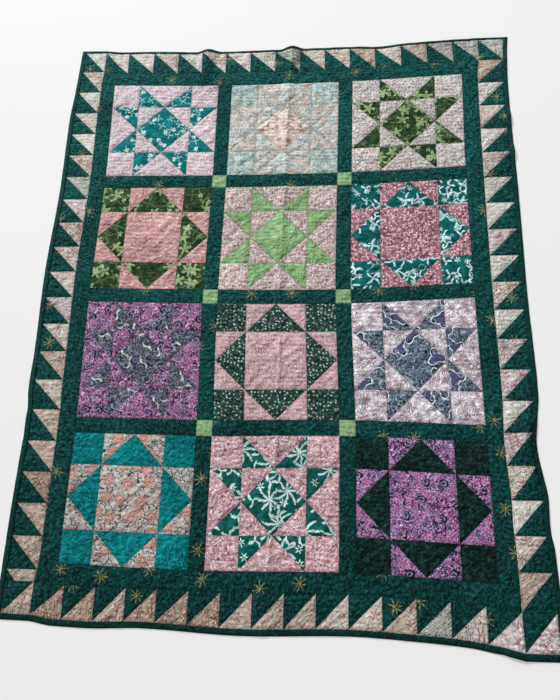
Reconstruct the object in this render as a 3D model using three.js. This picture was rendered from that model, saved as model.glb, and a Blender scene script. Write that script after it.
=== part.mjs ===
// A patchwork throw laid out on a floor, in millimetres, +Z up.
//
// Twelve pieced blocks stand in three columns and four rows between sashing strips with
// corner squares. Around them come an inner border, a sawtooth border of half-square
// triangles and a mitred binding. Each panel is one closed quilted solid, a small gap
// away from its neighbours. Every panel is drawn flat in seam coordinates u (to the
// right) and v (along the length), whose zero is the middle of the block grid. The
// tables below then move it to where the cloth really lies, and raise it over its folds.

import * as THREE from "three";

// Sewn sizes
const BLOCK = 305;
const PATCHES = 4;
const SASH = 39;
const COLUMNS = 3;
const ROWS = 4;
const INNER_BORDER = 44.5;
const TOOTH_DEPTH = 71;
const BINDING = { top: 9, right: 13, bottom: 14, left: 14 };
const GAP = 0.3;

// Thickness: what the seams hold down, and how far the wadding puffs up between them
const SEAM_THICKNESS = 4.2;
const PATCH_PUFF = 1.8;
const STRIP_PUFF = 1.2;
const BINDING_PUFF = 1.6;
const BINDING_LIP = -1.0;
const DIAGONAL_SHARE = 0.35;
const SOLID_RISE = 3;

// Cells: each patch and each tooth is cut in three each way, a strip in two across
const THIRDS = 3;
const STRIP_CELLS = 2;
const SASH_CELLS = 6;

// Sawtooth border: whole teeth between the corner squares, and the share of a cut tooth
const TEETH = {
  top: { whole: 15, part: 0, slash: "\\" },
  right: { whole: 19, part: 0, slash: "/" },
  bottom: { whole: 15, part: 0, slash: "/" },
  left: { whole: 19, part: 0.35, slash: "\\" },
};

// Worked-out places of the main seams
const PATCH = BLOCK / PATCHES;
const GRID_X = (COLUMNS * BLOCK + (COLUMNS - 1) * SASH) / 2;
const GRID_Y = (ROWS * BLOCK + (ROWS - 1) * SASH) / 2;
const BORDER_X = GRID_X + INNER_BORDER;
const BORDER_Y = GRID_Y + INNER_BORDER;
const TEETH_X = BORDER_X + TOOTH_DEPTH;
const TEETH_Y = BORDER_Y + TOOTH_DEPTH;
const EDGE = {
  top: TEETH_Y + BINDING.top,
  right: TEETH_X + BINDING.right,
  bottom: TEETH_Y + BINDING.bottom,
  left: TEETH_X + BINDING.left,
};

// Where the block grid has crept as the throw lies, at the seam crossings (dx, dy)
const CREEP_COLUMNS = [-GRID_X, -172, 172, GRID_X];
const CREEP = [
  { v: -GRID_Y, dx: [2, 1.5, 1.5, 4], dy: [3, -4, 0.5, -12] },
  { v: -344, dx: [2.5, 0.8, 3, 2], dy: [4, -1.5, 2, -8] },
  { v: 0, dx: [-4.5, -4.8, -5, -1.5], dy: [7.5, -1, -3, 12] },
  { v: 344, dx: [0, 0, 0, -0.5], dy: [4, -2, -2, 9] },
  { v: GRID_Y, dx: [-7, 0.5, 5.5, 8], dy: [7, -6.5, -7, 5] },
];

// How far each outer edge lies out from its straight line, and how far it slides along it
const OUTLINE = {
  top: [
    { at: -628, out: 10, slide: -7 },
    { at: -514, out: 6, slide: -3.5 },
    { at: -391, out: 3, slide: 4.5 },
    { at: -272, out: -5, slide: 8 },
    { at: -194, out: -7, slide: 6.5 },
    { at: 0, out: -7, slide: 9 },
    { at: 198, out: -7, slide: 9.5 },
    { at: 269, out: -10, slide: 10.5 },
    { at: 337, out: -2, slide: 12.5 },
    { at: 483, out: 5, slide: 15 },
    { at: 640, out: 6, slide: 8 },
  ],
  right: [
    { at: -800, out: 9, slide: -22 },
    { at: -593, out: 4, slide: -18 },
    { at: -547, out: -1, slide: -17 },
    { at: -477, out: 1, slide: -15 },
    { at: -416, out: -8, slide: -13 },
    { at: -365, out: -13, slide: -12 },
    { at: -313, out: -7, slide: -11 },
    { at: -243, out: 2, slide: -9.5 },
    { at: 0, out: 0, slide: -3.3 },
    { at: 150, out: 2, slide: -6 },
    { at: 319, out: 4, slide: -1.5 },
    { at: 592, out: 4, slide: 3 },
    { at: 732, out: 10, slide: 6 },
    { at: 800, out: 17, slide: 6 },
  ],
  bottom: [
    { at: -628, out: -1, slide: 2 },
    { at: -517, out: 1, slide: -5 },
    { at: -400, out: 4, slide: -4 },
    { at: -282, out: 0, slide: -5 },
    { at: -60, out: 8, slide: -4 },
    { at: 180, out: 1, slide: -6 },
    { at: 330, out: 7, slide: -3 },
    { at: 434, out: 15, slide: 0 },
    { at: 497, out: 25, slide: 3 },
    { at: 640, out: 26, slide: 4 },
  ],
  left: [
    { at: -800, out: 5, slide: 10 },
    { at: -668, out: 4.5, slide: 6.5 },
    { at: -557, out: 4, slide: 8.5 },
    { at: -420, out: 1, slide: 10 },
    { at: -330, out: -2, slide: 15 },
    { at: -269, out: 5, slide: 18.5 },
    { at: -165, out: 4, slide: 21.5 },
    { at: 54, out: 8, slide: 24.5 },
    { at: 293, out: 0, slide: 23 },
    { at: 549, out: 2, slide: 15 },
    { at: 643, out: -3, slide: 14 },
    { at: 800, out: -8, slide: 12 },
  ],
};

// Folds and lifts: a soft ridge from one end to the other, its full width and its height
const FOLDS = [
  { name: "left top ridge", from: [-232, 800], to: [-246, 684], wide: [84, 54], high: [14, 1] },
  { name: "middle top ridge", from: [14, 800], to: [8, 680], wide: [78, 50], high: [14, 4] },
  { name: "upper storage crease", from: [8, 680], to: [4, 0], wide: [54, 50], high: [4, 2.4] },
  { name: "lower storage crease", from: [4, 0], to: [-12, -790], wide: [50, 54], high: [2.4, 2] },
  { name: "right edge buckle", from: [600, -318], to: [590, -468], wide: [58, 60], high: [8, 4] },
  { name: "right upper swell", from: [620, 520], to: [520, 512], wide: [76, 60], high: [4.5, 0.5] },
  { name: "right middle swell", from: [622, 414], to: [520, 420], wide: [70, 56], high: [5, 0.5] },
  { name: "left edge swell", from: [-622, -345], to: [-520, -335], wide: [84, 60], high: [5, 0.5] },
  { name: "bottom right swell", from: [520, -795], to: [470, -700], wide: [90, 60], high: [5, 1] },
];

// Seams in a block of four by four patches, top row first. A slash is a half-square
// triangle's seam, a dot a plain square, and the letters o share one large square.
const STAR = [".\\/.", "\\/\\/", "/\\/\\", "./\\."];
const WINDOW = ["./\\.", "/oo\\", "\\oo/", ".\\/."];
const BLOCKS = [
  { row: 1, column: 1, seams: STAR, colour: 0x4d8f86 },
  { row: 1, column: 2, seams: STAR, colour: 0xc3c8bb },
  { row: 1, column: 3, seams: STAR, colour: 0x3f5a41 },
  { row: 2, column: 1, seams: WINDOW, colour: 0x45553a },
  { row: 2, column: 2, seams: STAR, colour: 0x9cc48f },
  { row: 2, column: 3, seams: WINDOW, colour: 0x3d8582 },
  { row: 3, column: 1, seams: STAR, colour: 0x66707c },
  { row: 3, column: 2, seams: WINDOW, colour: 0x24513f },
  { row: 3, column: 3, seams: STAR, colour: 0x7d8da0 },
  { row: 4, column: 1, seams: WINDOW, colour: 0x2f9a97 },
  { row: 4, column: 2, seams: STAR, colour: 0x1f9a70 },
  { row: 4, column: 3, seams: WINDOW, colour: 0x123b33 },
];
const COLOUR = { sashing: 0x0b4a42, corner: 0xd9dfa6, teeth: 0xb9a79c, binding: 0x0a3d36 };

/** The value at a place on the smooth curve through a table's rows. */
function follow(rows, key, value, at) {
  const last = rows.length - 1;
  if (at <= rows[0][key]) return rows[0][value];
  if (at >= rows[last][key]) return rows[last][value];
  const k = rows.findIndex((row) => row[key] > at) - 1;
  const slope = (n) => {
    const a = rows[Math.max(n - 1, 0)];
    const b = rows[Math.min(n + 1, last)];
    return (b[value] - a[value]) / (b[key] - a[key]);
  };
  const span = rows[k + 1][key] - rows[k][key];
  const t = (at - rows[k][key]) / span;
  const start = (1 + 2 * t) * (1 - t) ** 2 * rows[k][value] + t * (1 - t) ** 2 * span * slope(k);
  const end = t ** 2 * (3 - 2 * t) * rows[k + 1][value] - t ** 2 * (1 - t) * span * slope(k + 1);
  return start + end;
}

/** The creep of the block grid at a point inside it, as { x, y }. */
function gridCreep(u, v) {
  const sections = CREEP_COLUMNS.map((column, n) => {
    const rows = CREEP.map((row) => ({ v: row.v, x: row.dx[n], y: row.dy[n] }));
    return { u: column, x: follow(rows, "v", "x", v), y: follow(rows, "v", "y", v) };
  });
  return { x: follow(sections, "u", "x", u), y: follow(sections, "u", "y", u) };
}

/** The seam point (u, v) as the cloth lies, as { x, y }. */
function laid(u, v) {
  const edgeU = THREE.MathUtils.clamp(u, -GRID_X, GRID_X);
  const edgeV = THREE.MathUtils.clamp(v, -GRID_Y, GRID_Y);
  const creep = gridCreep(edgeU, edgeV);
  const shift = { ...creep };
  const sideways = u > 0 ? "right" : "left";
  const lengthways = v > 0 ? "top" : "bottom";
  const shareX = (Math.abs(u) - Math.abs(edgeU)) / (EDGE[sideways] - GRID_X);
  const shareY = (Math.abs(v) - Math.abs(edgeV)) / (EDGE[lengthways] - GRID_Y);
  if (shareX > 0) {
    const out = Math.sign(u) * follow(OUTLINE[sideways], "at", "out", v);
    const glide = Math.min((Math.abs(u) - Math.abs(edgeU)) / INNER_BORDER, 1);
    shift.x += shareX * (out - creep.x);
    shift.y += glide * (follow(OUTLINE[sideways], "at", "slide", v) - creep.y);
  }
  if (shareY > 0) {
    const out = Math.sign(v) * follow(OUTLINE[lengthways], "at", "out", u);
    const glide = Math.min((Math.abs(v) - Math.abs(edgeV)) / INNER_BORDER, 1);
    shift.y += shareY * (out - creep.y);
    shift.x += glide * (follow(OUTLINE[lengthways], "at", "slide", u) - creep.x);
  }
  return { x: u + shift.x, y: v + shift.y };
}

/** How far the folds raise the cloth at a seam point. */
function rise(u, v) {
  let height = 0;
  for (const { from, to, wide, high } of FOLDS) {
    const runU = to[0] - from[0];
    const runV = to[1] - from[1];
    const along = ((u - from[0]) * runU + (v - from[1]) * runV) / (runU ** 2 + runV ** 2);
    const t = THREE.MathUtils.clamp(along, 0, 1);
    const away = Math.hypot(u - from[0] - t * runU, v - from[1] - t * runV);
    const half = THREE.MathUtils.lerp(wide[0], wide[1], t) / 2;
    if (away >= half) continue;
    const peak = THREE.MathUtils.lerp(high[0], high[1], t);
    height = Math.max(height, (peak * (1 + Math.cos((Math.PI * away) / half))) / 2);
  }
  return height;
}

/** Places between cuts, each span divided evenly, with the outer two drawn in by half a gap. */
function divide(cuts, cells) {
  const places = cuts.slice(0, -1).flatMap((cut, n) =>
    Array.from({ length: cells }, (_, k) => cut + ((cuts[n + 1] - cut) * k) / cells),
  );
  places.push(cuts.at(-1));
  places[0] += GAP / 2;
  places[places.length - 1] -= GAP / 2;
  return places;
}

/**
 * One quilted panel: a grid of points on its face, walls round its rim and its underside.
 * place(i, j) gives a grid point's seam coordinates, puff(i, j) how far its face stands
 * above the seams, and slash(i, j) which way that cell's seam runs.
 */
function panel(name, colour, cellsU, cellsV, place, puff, slash) {
  const points = [];
  const index = [];
  const grid = (i, j) => j * (cellsU + 1) + i;
  for (let j = 0; j <= cellsV; j += 1) {
    for (let i = 0; i <= cellsU; i += 1) {
      const { u, v } = place(i, j);
      const { x, y } = laid(u, v);
      const lift = rise(u, v);
      const under = Math.max(0, lift - SOLID_RISE);
      points.push({ x, y, top: SEAM_THICKNESS + lift + puff(i, j), under });
    }
  }
  for (let j = 0; j < cellsV; j += 1) {
    for (let i = 0; i < cellsU; i += 1) {
      const [a, b, c, d] = [grid(i, j), grid(i + 1, j), grid(i + 1, j + 1), grid(i, j + 1)];
      if (slash(i, j) === "/") index.push(a, b, c, a, c, d);
      else index.push(a, b, d, b, c, d);
    }
  }
  const ring = [];
  for (let i = 0; i < cellsU; i += 1) ring.push(grid(i, 0));
  for (let j = 0; j < cellsV; j += 1) ring.push(grid(cellsU, j));
  for (let i = cellsU; i > 0; i -= 1) ring.push(grid(i, cellsV));
  for (let j = cellsV; j > 0; j -= 1) ring.push(grid(0, j));

  const position = points.flatMap((point) => [point.x, point.y, point.top]);
  const lower = new Map();
  const addLower = (n) => {
    if (!lower.has(n)) {
      lower.set(n, position.length / 3);
      position.push(points[n].x, points[n].y, points[n].under);
    }
    return lower.get(n);
  };
  ring.forEach((a, k) => {
    const b = ring[(k + 1) % ring.length];
    index.push(addLower(a), addLower(b), b, addLower(a), b, a);
  });
  const isSquarish = cellsU === cellsV;
  if (isSquarish && points.every((point) => point.under === 0)) {
    const middle = position.length / 3;
    const { u, v } = place(Math.floor(cellsU / 2), Math.floor(cellsV / 2));
    const { x, y } = laid(u, v);
    position.push(x, y, 0);
    ring.forEach((a, k) => index.push(middle, lower.get(ring[(k + 1) % ring.length]), lower.get(a)));
  } else {
    for (let j = 0; j < cellsV; j += 1) {
      for (let i = 0; i < cellsU; i += 1) {
        const corners = [grid(i, j), grid(i + 1, j), grid(i + 1, j + 1), grid(i, j + 1)];
        const [a, b, c, d] = corners.map(addLower);
        index.push(a, c, b, a, d, c);
      }
    }
  }
  const geometry = new THREE.BufferGeometry();
  geometry.setAttribute("position", new THREE.Float32BufferAttribute(position, 3));
  geometry.setIndex(index);
  geometry.computeVertexNormals();
  const material = new THREE.MeshStandardMaterial({ color: colour, roughness: 0.9, metalness: 0 });
  const mesh = new THREE.Mesh(geometry, material);
  mesh.name = name;
  return mesh;
}

/** A plain strip or square between straight seams, raised along its middle. */
function strip(name, colour, cutsU, cellsU, cutsV, cellsV) {
  const us = divide(cutsU, cellsU);
  const vs = divide(cutsV, cellsV);
  const isInside = (i, j) => i > 0 && j > 0 && i < us.length - 1 && j < vs.length - 1;
  const puff = (i, j) => (isInside(i, j) ? STRIP_PUFF : 0);
  const place = (i, j) => ({ u: us[i], v: vs[j] });
  return panel(name, colour, us.length - 1, vs.length - 1, place, puff, () => "/");
}

/** Half-square triangle relief: how far a grid point stands above the seams round it. */
function patchPuff(slash, i, j) {
  const onRim = i % THIRDS === 0 || j % THIRDS === 0;
  if (onRim) return 0;
  const isRising = i % THIRDS === j % THIRDS;
  const isOnSeam = (slash === "/" && isRising) || (slash === "\\" && !isRising);
  return isOnSeam ? DIAGONAL_SHARE * PATCH_PUFF : PATCH_PUFF;
}

/** One pieced block. */
function block({ row, column, seams, colour }) {
  const u0 = -GRID_X + (column - 1) * (BLOCK + SASH);
  const v0 = GRID_Y - BLOCK - (row - 1) * (BLOCK + SASH);
  const cells = PATCHES * THIRDS;
  const us = divide([u0, u0 + BLOCK], cells);
  const vs = divide([v0, v0 + BLOCK], cells);
  const seamAt = (i, j) => {
    const p = Math.min(Math.floor(i / THIRDS), PATCHES - 1);
    const q = Math.min(Math.floor(j / THIRDS), PATCHES - 1);
    return seams[PATCHES - 1 - q][p];
  };
  const isInLargeSquare = (n) => n > THIRDS && n < cells - THIRDS;
  const puff = (i, j) => {
    if (seams === WINDOW && isInLargeSquare(i) && isInLargeSquare(j)) return PATCH_PUFF;
    return patchPuff(seamAt(i, j), i, j);
  };
  const place = (i, j) => ({ u: us[i], v: vs[j] });
  const slash = (i, j) => (seamAt(i, j) === "/" ? "/" : "\\");
  return panel(`block_r${row}_c${column}`, colour, cells, cells, place, puff, slash);
}

/** The sashing strips and their corner squares. */
function sashing() {
  const pitch = BLOCK + SASH;
  const pieces = [];
  for (let row = 1; row <= ROWS; row += 1) {
    const v1 = GRID_Y - (row - 1) * pitch;
    for (let column = 1; column < COLUMNS; column += 1) {
      const u0 = -GRID_X + column * pitch - SASH;
      const name = `sash_upright_r${row}_c${column}`;
      const cutsU = [u0, u0 + SASH];
      pieces.push(strip(name, COLOUR.sashing, cutsU, STRIP_CELLS, [v1 - BLOCK, v1], SASH_CELLS));
    }
  }
  for (let row = 1; row < ROWS; row += 1) {
    const v0 = GRID_Y - row * pitch;
    const cutsV = [v0, v0 + SASH];
    for (let column = 1; column <= COLUMNS; column += 1) {
      const u0 = -GRID_X + (column - 1) * pitch;
      const name = `sash_cross_r${row}_c${column}`;
      pieces.push(strip(name, COLOUR.sashing, [u0, u0 + BLOCK], SASH_CELLS, cutsV, STRIP_CELLS));
      if (column === COLUMNS) continue;
      const cutsU = [u0 + BLOCK, u0 + pitch];
      const corner = `corner_square_r${row}_c${column}`;
      pieces.push(strip(corner, COLOUR.corner, cutsU, STRIP_CELLS, cutsV, STRIP_CELLS));
    }
  }
  return pieces;
}

/** Where one side's teeth meet, from its low end to its high end. */
function toothCuts(side, reach) {
  const { whole, part } = TEETH[side];
  const pitch = (2 * reach) / (whole + part);
  const first = part > 0 ? [-reach] : [];
  return [...first, ...Array.from({ length: whole + 1 }, (_, n) => reach - (whole - n) * pitch)];
}

/** The four strips of the inner border, the top and bottom ones right across. */
function innerBorder() {
  const pieces = [];
  for (const side of ["top", "bottom"]) {
    const cutsV = side === "top" ? [GRID_Y, BORDER_Y] : [-BORDER_Y, -GRID_Y];
    const cutsU = toothCuts(side, BORDER_X);
    pieces.push(strip(`inner_border_${side}`, COLOUR.sashing, cutsU, THIRDS, cutsV, STRIP_CELLS));
  }
  for (const side of ["left", "right"]) {
    const cutsU = side === "right" ? [GRID_X, BORDER_X] : [-BORDER_X, -GRID_X];
    const inside = divide(toothCuts(side, BORDER_Y), THIRDS).filter((v) => Math.abs(v) < GRID_Y - SASH / 4);
    const cutsV = [-GRID_Y, ...inside, GRID_Y];
    pieces.push(strip(`inner_border_${side}`, COLOUR.sashing, cutsU, STRIP_CELLS, cutsV, 1));
  }
  return pieces;
}

/** The four sawtooth strips, the top and bottom ones with the corner squares. */
function sawtooth() {
  const isAcross = (side) => side === "top" || side === "bottom";
  return Object.entries(TEETH).map(([side, { slash }]) => {
    const sign = side === "top" || side === "right" ? 1 : -1;
    const reach = isAcross(side) ? BORDER_X : BORDER_Y;
    const inner = isAcross(side) ? BORDER_Y : BORDER_X;
    const outer = isAcross(side) ? TEETH_Y : TEETH_X;
    const cuts = toothCuts(side, reach);
    const along = divide(isAcross(side) ? [-TEETH_X, ...cuts, TEETH_X] : cuts, THIRDS);
    const over = divide(sign > 0 ? [inner, outer] : [-outer, -inner], THIRDS);
    const [us, vs] = isAcross(side) ? [along, over] : [over, along];
    const place = (i, j) => ({ u: us[i], v: vs[j] });
    const puff = (i, j) => patchPuff(slash, i, j);
    const name = `sawtooth_${side}`;
    return panel(name, COLOUR.teeth, us.length - 1, vs.length - 1, place, puff, () => slash);
  });
}

/** The four bindings, rolled over the raw edge and mitred at the corners. */
function binding() {
  const mitre = GAP * 0.75;
  return ["top", "right", "bottom", "left"].map((side) => {
    const isAcross = side === "top" || side === "bottom";
    const sign = side === "top" || side === "right" ? 1 : -1;
    const [lowSide, highSide] = isAcross ? ["left", "right"] : ["bottom", "top"];
    const inner = isAcross ? TEETH_Y : TEETH_X;
    const end = isAcross ? TEETH_X : TEETH_Y;
    const cuts = toothCuts(side, isAcross ? BORDER_X : BORDER_Y);
    const along = divide([-end, ...cuts, end], THIRDS);
    const last = along.length - 1;
    const over = divide([inner, EDGE[side]], STRIP_CELLS);
    over[STRIP_CELLS] = EDGE[side];
    const onward = (n, k) => {
      const share = (over[k] - inner) / BINDING[side];
      if (n === 0) return -end - share * BINDING[lowSide] + mitre;
      if (n === last) return end + share * BINDING[highSide] - mitre;
      return along[n];
    };
    const outward = (n) => (sign > 0 ? n : STRIP_CELLS - n);
    const place = (i, j) => {
      const k = outward(isAcross ? j : i);
      if (isAcross) return { u: onward(i, k), v: sign * over[k] };
      return { u: sign * over[k], v: onward(j, k) };
    };
    const profile = [0, BINDING_PUFF, BINDING_LIP];
    const puff = (i, j) => profile[outward(isAcross ? j : i)];
    const [cellsU, cellsV] = isAcross ? [last, STRIP_CELLS] : [STRIP_CELLS, last];
    return panel(`binding_${side}`, COLOUR.binding, cellsU, cellsV, place, puff, () => "/");
  });
}

const throwQuilt = new THREE.Group();
throwQuilt.add(...BLOCKS.map(block), ...sashing(), ...innerBorder(), ...sawtooth(), ...binding());

// The origin is the middle of the laid outline, on the floor
const outline = new THREE.Box3().setFromObject(throwQuilt);
const middle = outline.getCenter(new THREE.Vector3());
throwQuilt.position.set(-middle.x, -middle.y, 0);

export default throwQuilt;
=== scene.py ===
"""A patchwork throw laid out on a pale floor.

Twelve pieced blocks lie between green sashing with corner squares, inside an inner border, a
sawtooth border and a mitred binding. Sewn sizes are in millimetres, in seam coordinates: u to
the right, v along the length, with zero at the middle of the block grid. The finished meshes
are in metres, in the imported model's frame.
"""

import logging
import math
from collections.abc import Callable, Sequence
from dataclasses import dataclass, field
from enum import Enum
from typing import Any, NamedTuple

import bpy
import numpy as np
from mathutils import Matrix, Vector


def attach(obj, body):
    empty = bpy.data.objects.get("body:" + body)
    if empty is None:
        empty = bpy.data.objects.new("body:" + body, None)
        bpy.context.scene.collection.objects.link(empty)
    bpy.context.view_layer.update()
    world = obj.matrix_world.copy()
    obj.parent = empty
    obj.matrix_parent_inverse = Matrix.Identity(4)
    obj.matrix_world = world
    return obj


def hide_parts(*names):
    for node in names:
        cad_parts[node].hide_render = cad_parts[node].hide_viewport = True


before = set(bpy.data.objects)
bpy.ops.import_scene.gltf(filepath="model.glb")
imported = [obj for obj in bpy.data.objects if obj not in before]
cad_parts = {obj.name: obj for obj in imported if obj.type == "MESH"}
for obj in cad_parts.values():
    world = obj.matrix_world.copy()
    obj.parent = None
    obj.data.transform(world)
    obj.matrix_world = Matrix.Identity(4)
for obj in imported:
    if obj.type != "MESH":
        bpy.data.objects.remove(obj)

LOG = logging.getLogger("patchwork_throw")
Socket = bpy.types.NodeSocket
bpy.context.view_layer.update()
MM = 0.001
CLOTH_UV = "cloth"
SEAM_NEARNESS = "seam_nearness"
QUILT_PHASE = "quilt_phase"


class Side(Enum):
    """A side of the throw, as seen from above with its length upwards."""

    TOP = "top"
    RIGHT = "right"
    BOTTOM = "bottom"
    LEFT = "left"

    @property
    def across(self) -> bool:
        """Whether the side runs along u."""
        return self in (Side.TOP, Side.BOTTOM)

    @property
    def sign(self) -> int:
        """1 where outward is towards growing u or v, else -1."""
        return 1 if self in (Side.TOP, Side.RIGHT) else -1


class Slash(Enum):
    """Which way a half-square triangle's seam runs across its square."""

    NONE = "."
    RISING = "/"
    FALLING = "\\"


class CreepRow(NamedTuple):
    """How far the block grid has crept at one height, at its four upright seams."""

    v: float
    dx: tuple[float, ...]
    dy: tuple[float, ...]


class EdgeRow(NamedTuple):
    """How far an outer edge lies out from its straight line there, and slides along it."""

    at: float
    out: float
    slide: float


class Fold(NamedTuple):
    """A soft ridge from one seam point to another, with its width and height at both ends."""

    start: tuple[float, float]
    end: tuple[float, float]
    wide: tuple[float, float]
    high: tuple[float, float]


CREEP = (
    CreepRow(-668.5, (2, 1.5, 1.5, 4), (3, -4, 0.5, -12)),
    CreepRow(-344, (2.5, 0.8, 3, 2), (4, -1.5, 2, -8)),
    CreepRow(0, (-4.5, -4.8, -5, -1.5), (7.5, -1, -3, 12)),
    CreepRow(344, (0, 0, 0, -0.5), (4, -2, -2, 9)),
    CreepRow(668.5, (-7, 0.5, 5.5, 8), (7, -6.5, -7, 5)),
)
CREEP_COLUMNS = (-496.5, -172.0, 172.0, 496.5)
OUTLINE = {
    Side.TOP: (
        EdgeRow(-628, 10, -7),
        EdgeRow(-514, 6, -3.5),
        EdgeRow(-391, 3, 4.5),
        EdgeRow(-272, -5, 8),
        EdgeRow(-194, -7, 6.5),
        EdgeRow(0, -7, 9),
        EdgeRow(198, -7, 9.5),
        EdgeRow(269, -10, 10.5),
        EdgeRow(337, -2, 12.5),
        EdgeRow(483, 5, 15),
        EdgeRow(640, 6, 8),
    ),
    Side.RIGHT: (
        EdgeRow(-800, 9, -22),
        EdgeRow(-593, 4, -18),
        EdgeRow(-547, -1, -17),
        EdgeRow(-477, 1, -15),
        EdgeRow(-416, -8, -13),
        EdgeRow(-365, -13, -12),
        EdgeRow(-313, -7, -11),
        EdgeRow(-243, 2, -9.5),
        EdgeRow(0, 0, -3.3),
        EdgeRow(150, 2, -6),
        EdgeRow(319, 4, -1.5),
        EdgeRow(592, 4, 3),
        EdgeRow(732, 10, 6),
        EdgeRow(800, 17, 6),
    ),
    Side.BOTTOM: (
        EdgeRow(-628, -1, 2),
        EdgeRow(-517, 1, -5),
        EdgeRow(-400, 4, -4),
        EdgeRow(-282, 0, -5),
        EdgeRow(-60, 8, -4),
        EdgeRow(180, 1, -6),
        EdgeRow(330, 7, -3),
        EdgeRow(434, 15, 0),
        EdgeRow(497, 25, 3),
        EdgeRow(640, 26, 4),
    ),
    Side.LEFT: (
        EdgeRow(-800, 5, 10),
        EdgeRow(-668, 4.5, 6.5),
        EdgeRow(-557, 4, 8.5),
        EdgeRow(-420, 1, 10),
        EdgeRow(-330, -2, 15),
        EdgeRow(-269, 5, 18.5),
        EdgeRow(-165, 4, 21.5),
        EdgeRow(54, 8, 24.5),
        EdgeRow(293, 0, 23),
        EdgeRow(549, 2, 15),
        EdgeRow(643, -3, 14),
        EdgeRow(800, -8, 12),
    ),
}
FOLDS = (
    Fold((-232, 800), (-246, 684), (84, 54), (14, 1)),
    Fold((14, 800), (8, 680), (78, 50), (14, 4)),
    Fold((8, 680), (4, 0), (54, 50), (4, 2.4)),
    Fold((4, 0), (-12, -790), (50, 54), (2.4, 2)),
    Fold((600, -318), (590, -468), (58, 60), (8, 4)),
    Fold((620, 520), (520, 512), (76, 60), (4.5, 0.5)),
    Fold((622, 414), (520, 420), (70, 56), (5, 0.5)),
    Fold((-622, -345), (-520, -335), (84, 60), (5, 0.5)),
    Fold((520, -795), (470, -700), (90, 60), (5, 1)),
)


def slopes(xs: np.ndarray, ys: np.ndarray) -> np.ndarray:
    """The slope of a smooth curve at each knot.

    Args:
        xs: the knots' places, rising.
        ys: the knots' values, with the knots along the first axis.

    Returns:
        The slopes, shaped as ys.
    """
    before = np.maximum(np.arange(len(xs)) - 1, 0)
    after = np.minimum(np.arange(len(xs)) + 1, len(xs) - 1)
    run = (xs[after] - xs[before]).reshape(-1, *([1] * (ys.ndim - 1)))
    return (ys[after] - ys[before]) / run


def follow(xs: Sequence[float], ys: Any, at: np.ndarray) -> np.ndarray:
    """The smooth curve through a table's knots, read at each place.

    Args:
        xs: the knots' places, rising.
        ys: their values, one each, or one row of len(at) values each.
        at: where to read.

    Returns:
        One value for each place, level beyond the ends.
    """
    xs, ys = np.asarray(xs, float), np.asarray(ys, float)
    at = np.clip(at, xs[0], xs[-1])
    k = np.clip(np.searchsorted(xs, at, side="right") - 1, 0, len(xs) - 2)
    pick = (lambda table, n: table[n]) if ys.ndim == 1 else (lambda table, n: table[n, np.arange(len(at))])
    slope = slopes(xs, ys)
    span = xs[k + 1] - xs[k]
    t = (at - xs[k]) / span
    start = (1 + 2 * t) * (1 - t) ** 2 * pick(ys, k) + t * (1 - t) ** 2 * span * pick(slope, k)
    return start + t**2 * (3 - 2 * t) * pick(ys, k + 1) - t**2 * (1 - t) * span * pick(slope, k + 1)


def wander(u: np.ndarray, v: np.ndarray, wide: float, long: float, seed: int) -> np.ndarray:
    """Smooth random ups and downs, about -1 to 1.

    Args:
        u: places to the right, in millimetres.
        v: places along the length, in millimetres.
        wide: the usual size of a swell along u, in millimetres.
        long: the usual size of a swell along v, in millimetres.
        seed: which random field.

    Returns:
        The field's value at each place.
    """
    rng = np.random.default_rng(seed)
    total = np.zeros_like(u)
    waves = 7
    for turn in np.linspace(0, math.pi, waves, endpoint=False) + rng.uniform(0, 0.4, waves):
        pace = rng.uniform(0.6, 1.5) * math.pi
        total += np.sin(pace * (u * math.cos(turn) / wide + v * math.sin(turn) / long) + rng.uniform(0, 6.3))
    return total / math.sqrt(waves)


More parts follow.
